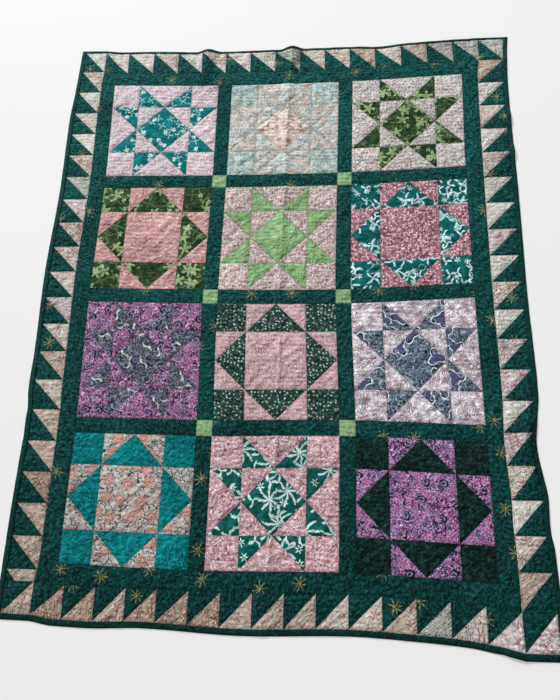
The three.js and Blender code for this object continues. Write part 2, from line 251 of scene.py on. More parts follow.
@dataclass(frozen=True)
class Layout:
    """The throw's sewn sizes, and where each of its seam points lies on the floor."""

    block: float = 305.0
    patches: int = 4
    sash: float = 39.0
    columns: int = 3
    rows: int = 4
    inner_border: float = 44.5
    tooth_depth: float = 71.0
    binding: dict[Side, float] = field(
        default_factory=lambda: {Side.TOP: 9.0, Side.RIGHT: 13.0, Side.BOTTOM: 14.0, Side.LEFT: 14.0}
    )
    seam_thickness: float = 4.2
    # A panel's back stays on the floor until its fold is this high.
    solid_rise: float = 3.0

    OUTLINE_STEPS = 2001

    @property
    def patch(self) -> float:
        """The side of one patch."""
        return self.block / self.patches

    @property
    def grid(self) -> tuple[float, float]:
        """Half the block grid's width and length.

        Returns:
            Both, in millimetres.
        """
        wide = self.columns * self.block + (self.columns - 1) * self.sash
        long = self.rows * self.block + (self.rows - 1) * self.sash
        return wide / 2, long / 2

    @property
    def border(self) -> tuple[float, float]:
        """Half the width and length to the inner border's outer seam."""
        return self.grid[0] + self.inner_border, self.grid[1] + self.inner_border

    @property
    def teeth(self) -> tuple[float, float]:
        """Half the width and length to the sawtooth border's outer seam."""
        return self.border[0] + self.tooth_depth, self.border[1] + self.tooth_depth

    def edge(self, side: Side) -> float:
        """How far a side's outer edge is from the middle."""
        return self.teeth[1 if side.across else 0] + self.binding[side]

    def creep(self, u: np.ndarray, v: np.ndarray) -> tuple[np.ndarray, np.ndarray]:
        """How far points inside the block grid have crept, right and up.

        Args:
            u: seam places to the right.
            v: seam places along the length.

        Returns:
            Both distances for each point, in millimetres.
        """
        heights = [row.v for row in CREEP]
        moved = []
        for name in ("dx", "dy"):
            table = np.array([getattr(row, name) for row in CREEP], float)
            columns = [follow(heights, table[:, n], v) for n in range(len(CREEP_COLUMNS))]
            moved.append(follow(CREEP_COLUMNS, np.array(columns), u))
        return moved[0], moved[1]

    def laid(self, u: np.ndarray, v: np.ndarray) -> tuple[np.ndarray, np.ndarray]:
        """Where seam points lie on the floor, in millimetres from the grid's middle.

        Args:
            u: seam places to the right.
            v: seam places along the length.

        Returns:
            Their x and y.
        """
        grid_u, grid_v = self.grid
        inner_u, inner_v = np.clip(u, -grid_u, grid_u), np.clip(v, -grid_v, grid_v)
        creep_x, creep_y = self.creep(inner_u, inner_v)
        x, y = u + creep_x, v + creep_y
        for side in Side:
            along, off, limit = (u, v, grid_v) if side.across else (v, u, grid_u)
            beyond = np.maximum(side.sign * off - limit, 0)
            share = beyond / (self.edge(side) - limit)
            glide = np.minimum(beyond / self.inner_border, 1)
            places = [row.at for row in OUTLINE[side]]
            out = side.sign * follow(places, [row.out for row in OUTLINE[side]], along)
            slide = follow(places, [row.slide for row in OUTLINE[side]], along)
            if side.across:
                x += glide * (slide - creep_x)
                y += share * (out - creep_y)
            else:
                x += share * (out - creep_x)
                y += glide * (slide - creep_y)
        return x, y

    def rise(self, u: np.ndarray, v: np.ndarray) -> np.ndarray:
        """How far the folds raise the cloth at seam points.

        Args:
            u: seam places to the right.
            v: seam places along the length.

        Returns:
            One height for each point, in millimetres.
        """
        height = np.zeros_like(u)
        for fold in FOLDS:
            (u0, v0), (u1, v1) = fold.start, fold.end
            run_u, run_v = u1 - u0, v1 - v0
            t = np.clip(((u - u0) * run_u + (v - v0) * run_v) / (run_u**2 + run_v**2), 0, 1)
            away = np.hypot(u - u0 - t * run_u, v - v0 - t * run_v)
            half = (fold.wide[0] + t * (fold.wide[1] - fold.wide[0])) / 2
            peak = fold.high[0] + t * (fold.high[1] - fold.high[0])
            bell = 0.5 + 0.5 * np.cos(math.pi * np.minimum(away / half, 1))
            height = np.maximum(height, peak * bell)
        return height

    def centre(self) -> tuple[float, float]:
        """The middle of the laid outline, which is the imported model's origin.

        Returns:
            Its x and y, in millimetres from the middle of the block grid.
        """
        steps = np.linspace(-1, 1, self.OUTLINE_STEPS)
        xs, ys = [], []
        for side in Side:
            ends = (self.edge(Side.LEFT), self.edge(Side.RIGHT))
            if not side.across:
                ends = (self.edge(Side.BOTTOM), self.edge(Side.TOP))
            along = np.where(steps < 0, steps * ends[0], steps * ends[1])
            off = np.full_like(along, side.sign * self.edge(side))
            x, y = self.laid(*((along, off) if side.across else (off, along)))
            xs += [x.min(), x.max()]
            ys += [y.min(), y.max()]
        return (min(xs) + max(xs)) / 2, (min(ys) + max(ys)) / 2


@dataclass(frozen=True)
class Quilting:
    """The rows of quilting that run across the throw, and the puckers between them."""

    pitch: float = 11.0
    height: float = 0.7
    pucker: float = 0.8
    # The crease left by storing the throw folded down its middle, as seam points.
    crease: tuple[tuple[float, float], ...] = ((-12, -800), (6, -344), (10, -170), (10, 344), (12, 800))
    crease_height: float = 2.2
    crease_width: float = 3.6

    def phase(self, u: np.ndarray, v: np.ndarray) -> np.ndarray:
        """Which row of quilting a seam point is in. A whole number is on a stitched line.

        Args:
            u: seam places to the right.
            v: seam places along the length.

        Returns:
            One row number for each point, with its part of a row.
        """
        # Rows sway by some 5 mm over a hand's breadth and by 2 mm over a thumb's.
        slow = 5.0 * wander(u, v, 120, 170, 3)
        quick = 1.6 * wander(u, v, 34, 60, 5)
        return (v + slow + quick) / self.pitch

    def relief(self, u: np.ndarray, v: np.ndarray) -> np.ndarray:
        """How far the wadding stands up at seam points.

        Args:
            u: seam places to the right.
            v: seam places along the length.

        Returns:
            One height for each point, in millimetres.
        """
        crest = 0.5 - 0.5 * np.cos(2 * math.pi * self.phase(u, v))
        # A row is full in some places and nearly flat in others.
        uneven = np.clip(0.6 + 0.35 * wander(u, v, 60, 44, 11) + 0.3 * wander(u, v, 9, 13, 13), 0.05, 1.5)
        # Puckers of three sizes, and slanting rucks in patches 70 mm across.
        fine = 0.45 * wander(u, v, 6, 5, 19) + 0.8 * wander(u, v, 13, 9, 17)
        slant = 1.3 * wander(u + v, v - u, 55, 15, 37) * np.clip(wander(u, v, 70, 70, 41), 0, 1)
        rucks = self.pucker * (fine + wander(u, v, 27, 20, 23) + slant)
        heights, places = [row[1] for row in self.crease], [row[0] for row in self.crease]
        away = u - np.interp(v, heights, places)
        crease = self.crease_height * (0.7 + 0.3 * wander(0 * u, v, 60, 60, 31))
        return self.height * uneven * crest + rucks + crease * np.exp(-((away / self.crease_width) ** 2))


class Segment(NamedTuple):
    """One straight seam between two seam points, in millimetres."""

    start: tuple[float, float]
    end: tuple[float, float]


def nearest_seam(u: np.ndarray, v: np.ndarray, seams: Sequence[Segment]) -> np.ndarray:
    """The distance from each point to the nearest seam.

    Args:
        u: places to the right.
        v: places along the length.
        seams: the seams to measure to.

    Returns:
        One distance for each point, in millimetres.
    """
    nearest = np.full(u.shape, np.inf)
    for (u0, v0), (u1, v1) in seams:
        run_u, run_v = u1 - u0, v1 - v0
        t = np.clip(((u - u0) * run_u + (v - v0) * run_v) / (run_u**2 + run_v**2), 0, 1)
        nearest = np.minimum(nearest, np.hypot(u - u0 - t * run_u, v - v0 - t * run_v))
    return nearest


def outline_seams(us: np.ndarray, vs: np.ndarray) -> list[Segment]:
    """The four seams round a panel.

    Args:
        us: its seam places to the right, rising.
        vs: its seam places along the length, rising.

    Returns:
        The seams, in order round it.
    """
    low_u, high_u, low_v, high_v = us[0], us[-1], vs[0], vs[-1]
    return [
        Segment((low_u, low_v), (high_u, low_v)),
        Segment((high_u, low_v), (high_u, high_v)),
        Segment((high_u, high_v), (low_u, high_v)),
        Segment((low_u, high_v), (low_u, low_v)),
    ]


def add(
    tree: bpy.types.NodeTree, kind: str, *values: Any, inputs: dict | None = None, **settings: Any
) -> Any:
    """Adds a node with its settings and links.

    Args:
        tree: the node tree that it goes in.
        kind: the node's type name.
        values: what its first inputs hold, in order, as values or as the sockets that feed them.
        inputs: what other inputs hold, by name.
        settings: the node's own properties.

    Returns:
        The node's outputs.
    """
    node = tree.nodes.new(kind)
    for name, value in settings.items():
        setattr(node, name, value)
    for key, value in {**dict(enumerate(values)), **(inputs or {})}.items():
        if isinstance(value, bpy.types.NodeSocket):
            tree.links.new(value, node.inputs[key])
        else:
            node.inputs[key].default_value = value
    return node.outputs


def linear(hex_colour: str) -> tuple[float, float, float, float]:
    """An sRGB hex colour made linear.

    Args:
        hex_colour: the colour, as a hash sign and six hex digits.

    Returns:
        Its red, green, blue and alpha.
    """
    parts = [int(hex_colour[n : n + 2], 16) / 255 for n in (1, 3, 5)]
    red, green, blue = ((c / 12.92 if c <= 0.04045 else ((c + 0.055) / 1.055) ** 2.4) for c in parts)
    return red, green, blue, 1.0


MATH = "ShaderNodeMath"
VECTOR = "ShaderNodeVectorMath"
MAP_RANGE = "ShaderNodeMapRange"
NOISE = "ShaderNodeTexNoise"
FIGURE_INPUTS = ("Cell", "Radius", "Lobes", "Inner", "Sharp", "Twist", "Share", "Line", "Cluster")
SWIRL_INPUTS = ("Scale", "Rings", "Share")


class PrintKit:
    """The shared node groups that draw every print: one for figures and one for swirls."""

    # How far a figure strays from its even place, how soft its edge is as a share of its
    # cell, and how many bunches there are to a cell.
    STRAY = 0.8
    EDGE = 0.014
    BUNCH = 0.42
    # How crumbled and how swept the clouds behind the swirls are, and their rings' soft edge.
    CLOUD_DETAIL = 1.4
    CLOUD_SWEEP = 0.8
    RING_EDGE = 0.08

    def __init__(self) -> None:
        """Builds both groups."""
        self.figure = self._group("printed_figure", FIGURE_INPUTS, self._draw_figure)
        self.swirl = self._group("printed_swirl", SWIRL_INPUTS, self._draw_swirl)

    @staticmethod
    def _group(name: str, numbers: Sequence[str], draw: Callable[..., Socket]) -> bpy.types.NodeTree:
        """A node group that turns a place on the cloth into a mask.

        Args:
            name: the group's name.
            numbers: its number inputs.
            draw: makes the mask's nodes from the tree and its inputs.

        Returns:
            The new group.
        """
        tree = bpy.data.node_groups.new(name, "ShaderNodeTree")
        tree.interface.new_socket("Vector", in_out="INPUT", socket_type="NodeSocketVector")
        for number in numbers:
            tree.interface.new_socket(number, in_out="INPUT", socket_type="NodeSocketFloat")
        tree.interface.new_socket("Mask", in_out="OUTPUT", socket_type="NodeSocketFloat")
        given = add(tree, "NodeGroupInput")
        add(tree, "NodeGroupOutput", draw(tree, given))
        return tree

    def _draw_figure(self, tree: bpy.types.NodeTree, given: Any) -> Socket:
        """A lobed figure round the middle of each cell, of a random turn.

        Args:
            tree: the group's node tree.
            given: the group's inputs.

        Returns:
            The mask, from 0 to 1.
        """
        scaled = add(tree, VECTOR, given["Vector"], inputs={"Scale": given["Cell"]}, operation="SCALE")[0]
        look = {"Vector": scaled, "Scale": 1.0, "Randomness": self.STRAY}
        spots = add(tree, "ShaderNodeTexVoronoi", inputs=look, voronoi_dimensions="2D")
        away = spots["Distance"]
        local = add(tree, VECTOR, scaled, spots["Position"], operation="SUBTRACT")[0]
        axes = add(tree, "ShaderNodeSeparateXYZ", local)
        chance = add(tree, "ShaderNodeSeparateColor", spots["Color"])
        angle = add(tree, MATH, axes["Y"], axes["X"], operation="ARCTAN2")[0]
        turned = add(tree, MATH, chance[0], 2 * math.pi, angle, operation="MULTIPLY_ADD")[0]
        curl = add(tree, MATH, away, given["Twist"], operation="MULTIPLY")[0]
        swept = add(tree, MATH, turned, given["Lobes"], curl, operation="MULTIPLY_ADD")[0]
        wave = add(tree, MATH, swept, operation="COSINE")[0]
        lobe = add(tree, MATH, wave, 0.5, 0.5, operation="MULTIPLY_ADD")[0]
        narrow = add(tree, MATH, lobe, given["Sharp"], operation="POWER")[0]
        waist = add(tree, MAP_RANGE, narrow, 0.0, 1.0, given["Inner"], 1.0)[0]
        reach = add(tree, MATH, waist, given["Radius"], operation="MULTIPLY")[0]
        margin = add(tree, MATH, reach, away, operation="SUBTRACT")[0]
        filled = add(tree, MAP_RANGE, margin, -self.EDGE, self.EDGE, 0.0, 1.0)[0]
        offset = add(tree, MATH, margin, operation="ABSOLUTE")[0]
        drawn = add(tree, MATH, offset, given["Line"], operation="LESS_THAN")[0]
        is_line = add(tree, MATH, given["Line"], 0.0, operation="GREATER_THAN")[0]
        mask = add(tree, "ShaderNodeMix", inputs={"Factor": is_line, "A": filled, "B": drawn})[0]
        crowd = add(tree, NOISE, spots["Position"], inputs={"Scale": self.BUNCH, "Detail": 0.0})[0]
        bunched = add(tree, MATH, crowd, given["Cluster"], operation="GREATER_THAN")[0]
        kept = add(tree, MATH, chance[1], given["Share"], operation="LESS_THAN")[0]
        shown = add(tree, MATH, kept, bunched, operation="MULTIPLY")[0]
        return add(tree, MATH, mask, shown, operation="MULTIPLY")[0]

    def _draw_swirl(self, tree: bpy.types.NodeTree, given: Any) -> Socket:
        """Rings that follow a cloudy pattern, like contour lines.

        Args:
            tree: the group's node tree.
            given: the group's inputs.

        Returns:
            The mask, from 0 to 1.
        """
        look = {"Scale": given["Scale"], "Detail": self.CLOUD_DETAIL, "Distortion": self.CLOUD_SWEEP}
        cloud = add(tree, NOISE, given["Vector"], inputs=look)[0]
        climbed = add(tree, MATH, cloud, given["Rings"], operation="MULTIPLY")[0]
        ring = add(tree, MATH, climbed, 0.5, operation="PINGPONG")[0]
        margin = add(tree, MATH, ring, -2.0, given["Share"], operation="MULTIPLY_ADD")[0]
        return add(tree, MAP_RANGE, margin, -self.RING_EDGE, self.RING_EDGE, 0.0, 1.0)[0]


@dataclass(frozen=True)
class Motif:
    """One printed figure, repeated over a cloth. Sizes are in millimetres.

    A figure's outline is a radius that waves round its middle: lobes counts its petals, rays
    or leaves, inner is its waist as a share of its radius, sharp narrows the lobes and twist
    curls them. share is how many of the places hold a figure, cluster gathers them in bunches
    and line draws only the outline. Motifs with the same cell lie on the same places.
    """

    colour: str
    cell: float
    radius: float
    lobes: int = 5
    inner: float = 0.4
    sharp: float = 1.0
    twist: float = 0.0
    share: float = 1.0
    line: float = 0.0
    cluster: float = 0.0

    def mask(self, tree: bpy.types.NodeTree, place: Socket, kit: PrintKit) -> Socket:
        """Where the figure's ink lies.

        Args:
            tree: the cloth's node tree.
            place: the place on the cloth, in metres.
            kit: the shared node groups.

        Returns:
            The mask, from 0 to 1.
        """
        values = (
            1 / (self.cell * MM),
            self.radius / self.cell,
            float(self.lobes),
            self.inner,
            self.sharp,
            self.twist * self.cell / self.radius,
            self.share,
            self.line / self.cell,
            self.cluster,
        )
        return add(tree, "ShaderNodeGroup", place, *values, node_tree=kit.figure)[0]


@dataclass(frozen=True)
class Swirl:
    """Ink that follows the contours of a cloud: marbling, scrollwork or a few bright veins.

    size is the clouds' size in millimetres, rings how many rings a cloud has and share how
    much of each ring is inked.
    """

    colour: str
    size: float
    rings: float = 6.0
    share: float = 0.35

    def mask(self, tree: bpy.types.NodeTree, place: Socket, kit: PrintKit) -> Socket:
        """Where the swirl's ink lies.

        Args:
            tree: the cloth's node tree.
            place: the place on the cloth, in metres.
            kit: the shared node groups.

        Returns:
            The mask, from 0 to 1.
        """
        values = (1 / (self.size * MM), self.rings, self.share)
        return add(tree, "ShaderNodeGroup", place, *values, node_tree=kit.swirl)[0]


def drop(colour: str, cell: float, radius: float, share: float, line: float = 0.0) -> Motif:
    """A paisley drop, with one lobe that narrows to a curled tip.

    Args:
        colour: its colour.
        cell: the spacing of the drops, in millimetres.
        radius: a drop's reach, in millimetres.
        share: how many of the places hold a drop.
        line: the width of its outline in millimetres, or 0 where it is filled.

    Returns:
        The motif.
    """
    return Motif(colour, cell, radius, 1, 0.12, 1.8, 1.0, share, line)


def blossoms(
    cell: float,
    radius: float,
    petal: str,
    heart: str,
    leaf: str | None = None,
    share: float = 0.7,
    cluster: float = 0.0,
    petals: int = 5,
) -> tuple[Motif, ...]:
    """Flowers with a heart, on a sprig of leaves if they have one.

    Args:
        cell: the spacing of the flowers, in millimetres.
        radius: a flower's radius, in millimetres.
        petal: the petals' colour.
        heart: the heart's colour.
        leaf: the leaves' colour.
        share: how many of the places hold a flower.
        cluster: how far they are gathered in bunches.
        petals: how many petals a flower has.

    Returns:
        The motifs, in the order that they are printed.
    """
    flower = Motif(petal, cell, radius, petals, 0.42, share=share, cluster=cluster)
    middle = Motif(heart, cell, 0.3 * radius, 1, 1.0, share=share, cluster=cluster)
    if leaf is None:
        return flower, middle
    sprig = Motif(leaf, cell, 1.7 * radius, 5, 0.08, 2.8, 0.8, share, cluster=cluster)
    return sprig, flower, middle


@dataclass(frozen=True)
class Cotton:
    """Printed quilting cotton, washed and quilted.

    It gives the eye a dry matt face, a fine plain weave, mottled ground dye, printed figures
    and the small puckers and creases of hand-soft cloth. dyes are the ground's usual, darker
    and lighter colour, mottle is the size of its blotches in millimetres, and crumple scales the
    puckers and creases. Painted shade darkens it along its seams and stitched lines. faded is
    painted light: how much paler the cloth is painted at the throw's far end, and darker at its
    near end, as if more light fell on the far end.
    """

    name: str
    slot: str
    dyes: tuple[str, str, str]
    mottle: float = 9.0
    layers: tuple[Motif | Swirl, ...] = ()
    crumple: float = 1.0
    # Painted light along the throw, none by default.
    painted_far_light: float = 0.0

    # Real threads are 0.3 mm apart, too fine to show here, so the weave is drawn at 1.2 mm.
    THREAD = 1.2
    THREAD_HEIGHT = 0.08
    # A stitch and its gap in millimetres, the stitch's share of it, and the thread's width in rows.
    STITCH = 2.6
    STITCH_SHARE = 0.7
    STITCH_WIDTH = 0.03
    ROUGHNESS = 0.9
    GLOSS = 0.12
    # How bright washing leaves the cloth, how dark the painted shade makes seams and stitched lines,
    # how dark the stitches are, and how many rows the lines' painted shade reaches.
    WASHED = (0.9, 1.2)
    SEAM_SHADE = 0.68
    LINE_SHADE = 0.93
    LINE_REACH = 0.16
    STITCH_SHADE = 0.85
    # The ink's strength at the near and the far end, on a cloth painted lighter towards the far end.
    INK = (1.0, 0.4)
    # How far outlines waver from side to side, and half of the throw's length, in metres.
    WAVER = 0.006
    HALF_LENGTH = 0.8
    # Heights in millimetres, and the ways that creases run, in radians.
    QUILT_VALLEY = 0.3
    PUCKER = 1.6
    CREASE = 0.8
    CREASE_TURNS = (0.55, -0.75, 1.45)

    def material(self, kit: PrintKit) -> bpy.types.Material:
        """The cloth's material.

        Args:
            kit: the shared node groups.

        Returns:
            The new material.
        """
        material = bpy.data.materials.new(self.name)
        material.use_nodes = True
        tree = material.node_tree
        tree.nodes.clear()
        cloth = add(tree, "ShaderNodeUVMap", uv_map=CLOTH_UV)[0]
        phase = add(tree, "ShaderNodeAttribute", attribute_name=QUILT_PHASE)["Fac"]
        # The distance from the stitched line: 0 on it and 0.5 halfway to the next.
        away = add(tree, MATH, phase, 0.5, operation="PINGPONG")[0]
        look = {
            "Base Color": self._washed_and_painted_shading(tree, cloth, away, self._printed(tree, cloth, kit)),
            "Roughness": self.ROUGHNESS,
            "Specular IOR Level": self.GLOSS,
            "Normal": self._bumped(tree, cloth, away),
        }
        shader = add(tree, "ShaderNodeBsdfPrincipled", inputs=look)[0]
        add(tree, "ShaderNodeOutputMaterial", shader)
        return material

    def _printed(self, tree: bpy.types.NodeTree, cloth: Socket, kit: PrintKit) -> Socket:
        """The dyed ground with the layers printed over it.

        Args:
            tree: the material's node tree.
            cloth: the place on the cloth, in metres.
            kit: the shared node groups.

        Returns:
            The printed colour.
        """
        blotch = {"Scale": 1 / (self.mottle * MM), "Detail": 2.5, "Roughness": 0.62}
        cloud = add(tree, NOISE, cloth, inputs=blotch)[0]
        ramp = add(tree, "ShaderNodeValToRGB", cloud)
        stops = ramp[0].node.color_ramp.elements
        stops[0].position, stops[1].position = 0.36, 0.64
        base, dark, light = (linear(dye) for dye in self.dyes)
        stops[0].color, stops[1].color = dark, light
        stops.new(0.5).color = base
        colour = ramp[0]
        # Outlines waver, so that no two figures are alike.
        tremor = add(tree, NOISE, cloth, inputs={"Scale": 140.0, "Detail": 1.0})["Color"]
        swing = add(tree, VECTOR, tremor, (0.5, 0.5, 0.5), operation="SUBTRACT")[0]
        reach = (self.WAVER, self.WAVER, 0.0)
        drawn = add(tree, VECTOR, swing, reach, cloth, operation="MULTIPLY_ADD")[0]
        # On a cloth painted lighter towards the far end, the print is painted fainter there too.
        shown = self._along(tree, *self.INK) if self.painted_far_light else None
        for layer in self.layers:
            mask = layer.mask(tree, drawn, kit)
            if shown:
                mask = add(tree, MATH, mask, shown, operation="MULTIPLY")[0]
            ink = {"Factor": mask, 6: colour, 7: linear(layer.colour)}
            colour = add(tree, "ShaderNodeMix", inputs=ink, data_type="RGBA")[2]
        return colour

    def _along(self, tree: bpy.types.NodeTree, near: float, far: float) -> Socket:
        """A value that changes evenly along the throw.

        Args:
            tree: the material's node tree.
            near: the value at the near end.
            far: the value at the far end.

        Returns:
            The value.
        """
        place = add(tree, "ShaderNodeTexCoord")["Object"]
        length = add(tree, "ShaderNodeSeparateXYZ", place)["Y"]
        return add(tree, MAP_RANGE, length, -self.HALF_LENGTH, self.HALF_LENGTH, near, far)[0]

    def _washed_and_painted_shading(self, tree: bpy.types.NodeTree, cloth: Socket, away: Socket, colour: Socket) -> Socket:
        """Washing fades broad patches, painted shade darkens seams and stitched lines, painted light pales
        the far end, and stitches show on their lines.

        Args:
            tree: the material's node tree.
            cloth: the place on the cloth, in metres.
            away: the distance from the stitched line, in rows.
            colour: the printed colour.

        Returns:
            The colour with its washing, painted shade, painted light and stitches.
        """
        # Washed patches are some 140 mm across.
        place = add(tree, "ShaderNodeTexCoord")["Object"]
        washed = add(tree, NOISE, place, inputs={"Scale": 7.0, "Detail": 3.0})[0]
        patchy = add(tree, MAP_RANGE, washed, 0.3, 0.7, *self.WASHED)[0]
        # Painted light: the far end is painted paler and the near end darker.
        painted_far_gain = self._along(tree, 1 - self.painted_far_light, 1 + self.painted_far_light)
        near = add(tree, "ShaderNodeAttribute", attribute_name=SEAM_NEARNESS)["Fac"]
        # Painted shade: the cloth is darkened towards each seam.
        painted_seam_shade = add(tree, MAP_RANGE, near, 0.0, 1.0, 1.0, self.SEAM_SHADE)[0]
        # Painted shade: the cloth is darkened along each stitched line.
        painted_line_shade = add(tree, MAP_RANGE, away, 0.0, self.LINE_REACH, self.LINE_SHADE, 1.0)[0]
        across = add(tree, "ShaderNodeSeparateXYZ", cloth)["X"]
        run = add(tree, MATH, across, 1 / (self.STITCH * MM), operation="MULTIPLY")[0]
        step = add(tree, MATH, run, operation="FRACT")[0]
        dash = add(tree, MATH, step, self.STITCH_SHARE, operation="LESS_THAN")[0]
        on_line = add(tree, MATH, away, self.STITCH_WIDTH, operation="LESS_THAN")[0]
        stitch = add(tree, MATH, dash, on_line, operation="MULTIPLY")[0]
        thread = add(tree, MAP_RANGE, stitch, 0.0, 1.0, 1.0, self.STITCH_SHADE)[0]
        for part in (patchy, painted_far_gain, painted_seam_shade, painted_line_shade, thread):
            colour = add(tree, VECTOR, colour, inputs={"Scale": part}, operation="SCALE")[0]
        return colour

    def _bumped(self, tree: bpy.types.NodeTree, cloth: Socket, away: Socket) -> Socket:
        """The sharp valleys along the quilting, puckers, creases, and warp and weft.

        Args:
            tree: the material's node tree.
            cloth: the place on the cloth, in metres.
            away: the distance from the stitched line, in rows.

        Returns:
            The bumped normal.
        """
        place = add(tree, "ShaderNodeTexCoord")["Object"]
        # Puckers are drawn out along the quilting: 11 mm long and 7 mm wide.
        stretched = add(tree, VECTOR, place, (90.0, 140.0, 40.0), operation="MULTIPLY")[0]
        puckers = add(tree, NOISE, stretched, inputs={"Scale": 1.0, "Detail": 2.0})[0]
        ruck = add(tree, MATH, puckers, self.PUCKER * self.crumple, operation="MULTIPLY")[0]
        arch = add(tree, MATH, away, math.pi, operation="MULTIPLY")[0]
        valley = add(tree, MATH, arch, operation="SINE")[0]
        height = add(tree, MATH, valley, self.QUILT_VALLEY, ruck, operation="MULTIPLY_ADD")[0]
        # A wave texture of scale s repeats every pi / 10 / s metres.
        look = {"Scale": math.pi / 10 / (self.THREAD * MM), "Distortion": 0.4, "Detail": 1.0}
        warp = add(tree, "ShaderNodeTexWave", cloth, inputs=look, bands_direction="X")["Fac"]
        weft = add(tree, "ShaderNodeTexWave", cloth, inputs=look, bands_direction="Y")["Fac"]
        weave = add(tree, MATH, warp, weft, operation="MAXIMUM")[0]
        relief = add(tree, MATH, weave, self.THREAD_HEIGHT, height, operation="MULTIPLY_ADD")[0]
        for turn in self.CREASE_TURNS:
            relief = add(tree, MATH, relief, self._creases(tree, place, turn), operation="ADD")[0]
        look = {"Height": relief, "Strength": 1.0, "Distance": MM}
        return add(tree, "ShaderNodeBump", inputs=look)[0]

    def _creases(self, tree: bpy.types.NodeTree, place: Socket, turn: float) -> Socket:
        """Fine creases that run one way, gathered in patches.

        Args:
            tree: the material's node tree.
            place: the place on the throw, in metres.
            turn: the way that they run, in radians.

        Returns:
            Their height, in millimetres.
        """
        turned = add(
            tree, "ShaderNodeVectorRotate", place, inputs={"Angle": turn}, rotation_type="Z_AXIS"
        )[0]
        # Creases are some 35 mm long and 8 mm apart, and their patches 120 mm across.
        drawn = add(tree, VECTOR, turned, (28.0, 125.0, 30.0), operation="MULTIPLY")[0]
        grain = add(tree, NOISE, drawn, inputs={"Scale": 1.0, "Detail": 1.0})[0]
        across = add(tree, MATH, grain, 0.5, operation="SUBTRACT")[0]
        off = add(tree, MATH, across, operation="ABSOLUTE")[0]
        ridge = add(tree, MAP_RANGE, off, 0.0, 0.085, self.CREASE * self.crumple, 0.0)[0]
        patch = add(tree, NOISE, turned, inputs={"Scale": 8.0, "Detail": 1.0})[0]
        here = add(tree, MAP_RANGE, patch, 0.42, 0.58, 0.0, 1.0)[0]
        return add(tree, MATH, ridge, here, operation="MULTIPLY")[0]


BOTTLE_GREEN = "fabric_bottle_green"
TEAL = "fabric_teal"
PASTEL = "fabric_pastel"
FOREST = "fabric_forest"
LIGHT_GREEN = "fabric_light_green"
SLATE = "fabric_slate"
EMERALD = "fabric_emerald"
CORNER = "fabric_corner"
TEETH_CLOTH = "fabric_teeth"

GOLD_STARS = (
    Motif("#a39b68", 106, 17.5, lobes=8, inner=0.1, sharp=3.6, share=0.75),
    Motif("#aca06a", 106, 4.8, lobes=8, inner=0.5, share=0.75),
)
STRIP_COTTON = Cotton(
    "cotton_bottle_green_gold_stars",
    BOTTLE_GREEN,
    ("#0e4744", "#052e2c", "#1c625e"),
    8,
    GOLD_STARS,
    crumple=3.3,
    # The far end is painted paler and the near end darker, as painted light.
    painted_far_light=0.26,
)
BINDING_COTTON = Cotton(
    "cotton_bottle_green_binding",
    BOTTLE_GREEN,
    ("#0c3f3b", "#08312e", "#134b47"),
    10,
    crumple=1.5,
    # The far end is painted paler and the near end darker, as painted light.
    painted_far_light=0.26,
)
CORNER_COTTON = Cotton("cotton_leaf_green_plain", CORNER, ("#8cb182", "#7ea172", "#9bc090"), 8)
BACKING = Cotton("cotton_backing_deep_green", BOTTLE_GREEN, ("#0e3f3b", "#0a3430", "#154b46"), 20)

TEAL_DAISIES = Cotton(
    "cotton_teal_white_daisies",
    TEAL,
    ("#067476", "#036466", "#108385"),
    22,
    (
        Motif("#a9d6d4", 26, 13, 4, 0.07, 4.0, 1.4, 0.75, cluster=0.46),
        *blossoms(21.5, 7.2, "#e9fbfa", "#7fb5b3", None, 0.6, 0.48, 6),
    ),
)
PINK_MIST = Cotton(
    "cotton_pale_pink_mist",
    TEAL,
    ("#d8ccd2", "#bfb2b8", "#e9e0e5"),
    7,
    (Motif("#d3a8b3", 14, 5.2, 3, 0.4, share=0.55), Motif("#a39a9e", 10, 2.8, 3, 0.4, share=0.5)),
)
PASTEL_POINTS = Cotton(
    "cotton_pastel_sage_and_peach",
    PASTEL,
    ("#cbcac2", "#a5b0ac", "#dfd3c9"),
    19,
    (
        Motif("#cfa99b", 31, 15, 4, 0.08, 3.6, 1.4, 0.7),
        Motif("#8fa298", 23, 11, 3, 0.08, 3.6, 1.2, 0.7),
        Motif("#9a7f7a", 19, 2.9, 4, 0.4, share=0.5),
    ),
)
PASTEL_BLUE = Cotton(
    "cotton_pastel_blue_meadow",
    PASTEL,
    ("#cacdc8", "#a6b4b4", "#e2dacf"),
    18,
    (
        Motif("#94abb9", 26, 13, 4, 0.08, 3.6, 1.2, 0.7),
        Motif("#cbac98", 33, 15, 4, 0.1, 3.0, 1.2, 0.65),
        Motif("#84908d", 13, 3.6, 3, 0.2, 1.4, 0.0, 0.5),
    ),
)
PASTEL_CORNER = Cotton(
    "cotton_pastel_mint_meadow",
    PASTEL,
    ("#b3c6c3", "#94a7a6", "#cfdcd6"),
    15,
    (
        Motif("#86a4ad", 24, 12, 4, 0.08, 3.6, 1.2, 0.7),
        Motif("#d3cfae", 30, 8, 5, 0.4, share=0.5),
        Motif("#7e8f8c", 15, 3.8, 3, 0.2, 1.4, share=0.5),
    ),
)
PASTEL_PEACH = Cotton(
    "cotton_pastel_peach_garden",
    PASTEL,
    ("#dccdc4", "#c8b3a8", "#ebe0d8"),
    16,
    (
        Motif("#8f8064", 37, 18, 3, 0.07, 5.0, 1.6, 0.65, cluster=0.42),
        *blossoms(34, 9.5, "#c5958f", "#a07c68", None, 0.6, 0.45),
        Motif("#a89a8a", 19, 5.4, 3, 0.25, 1.4, 1.0, 0.5),
    ),
)
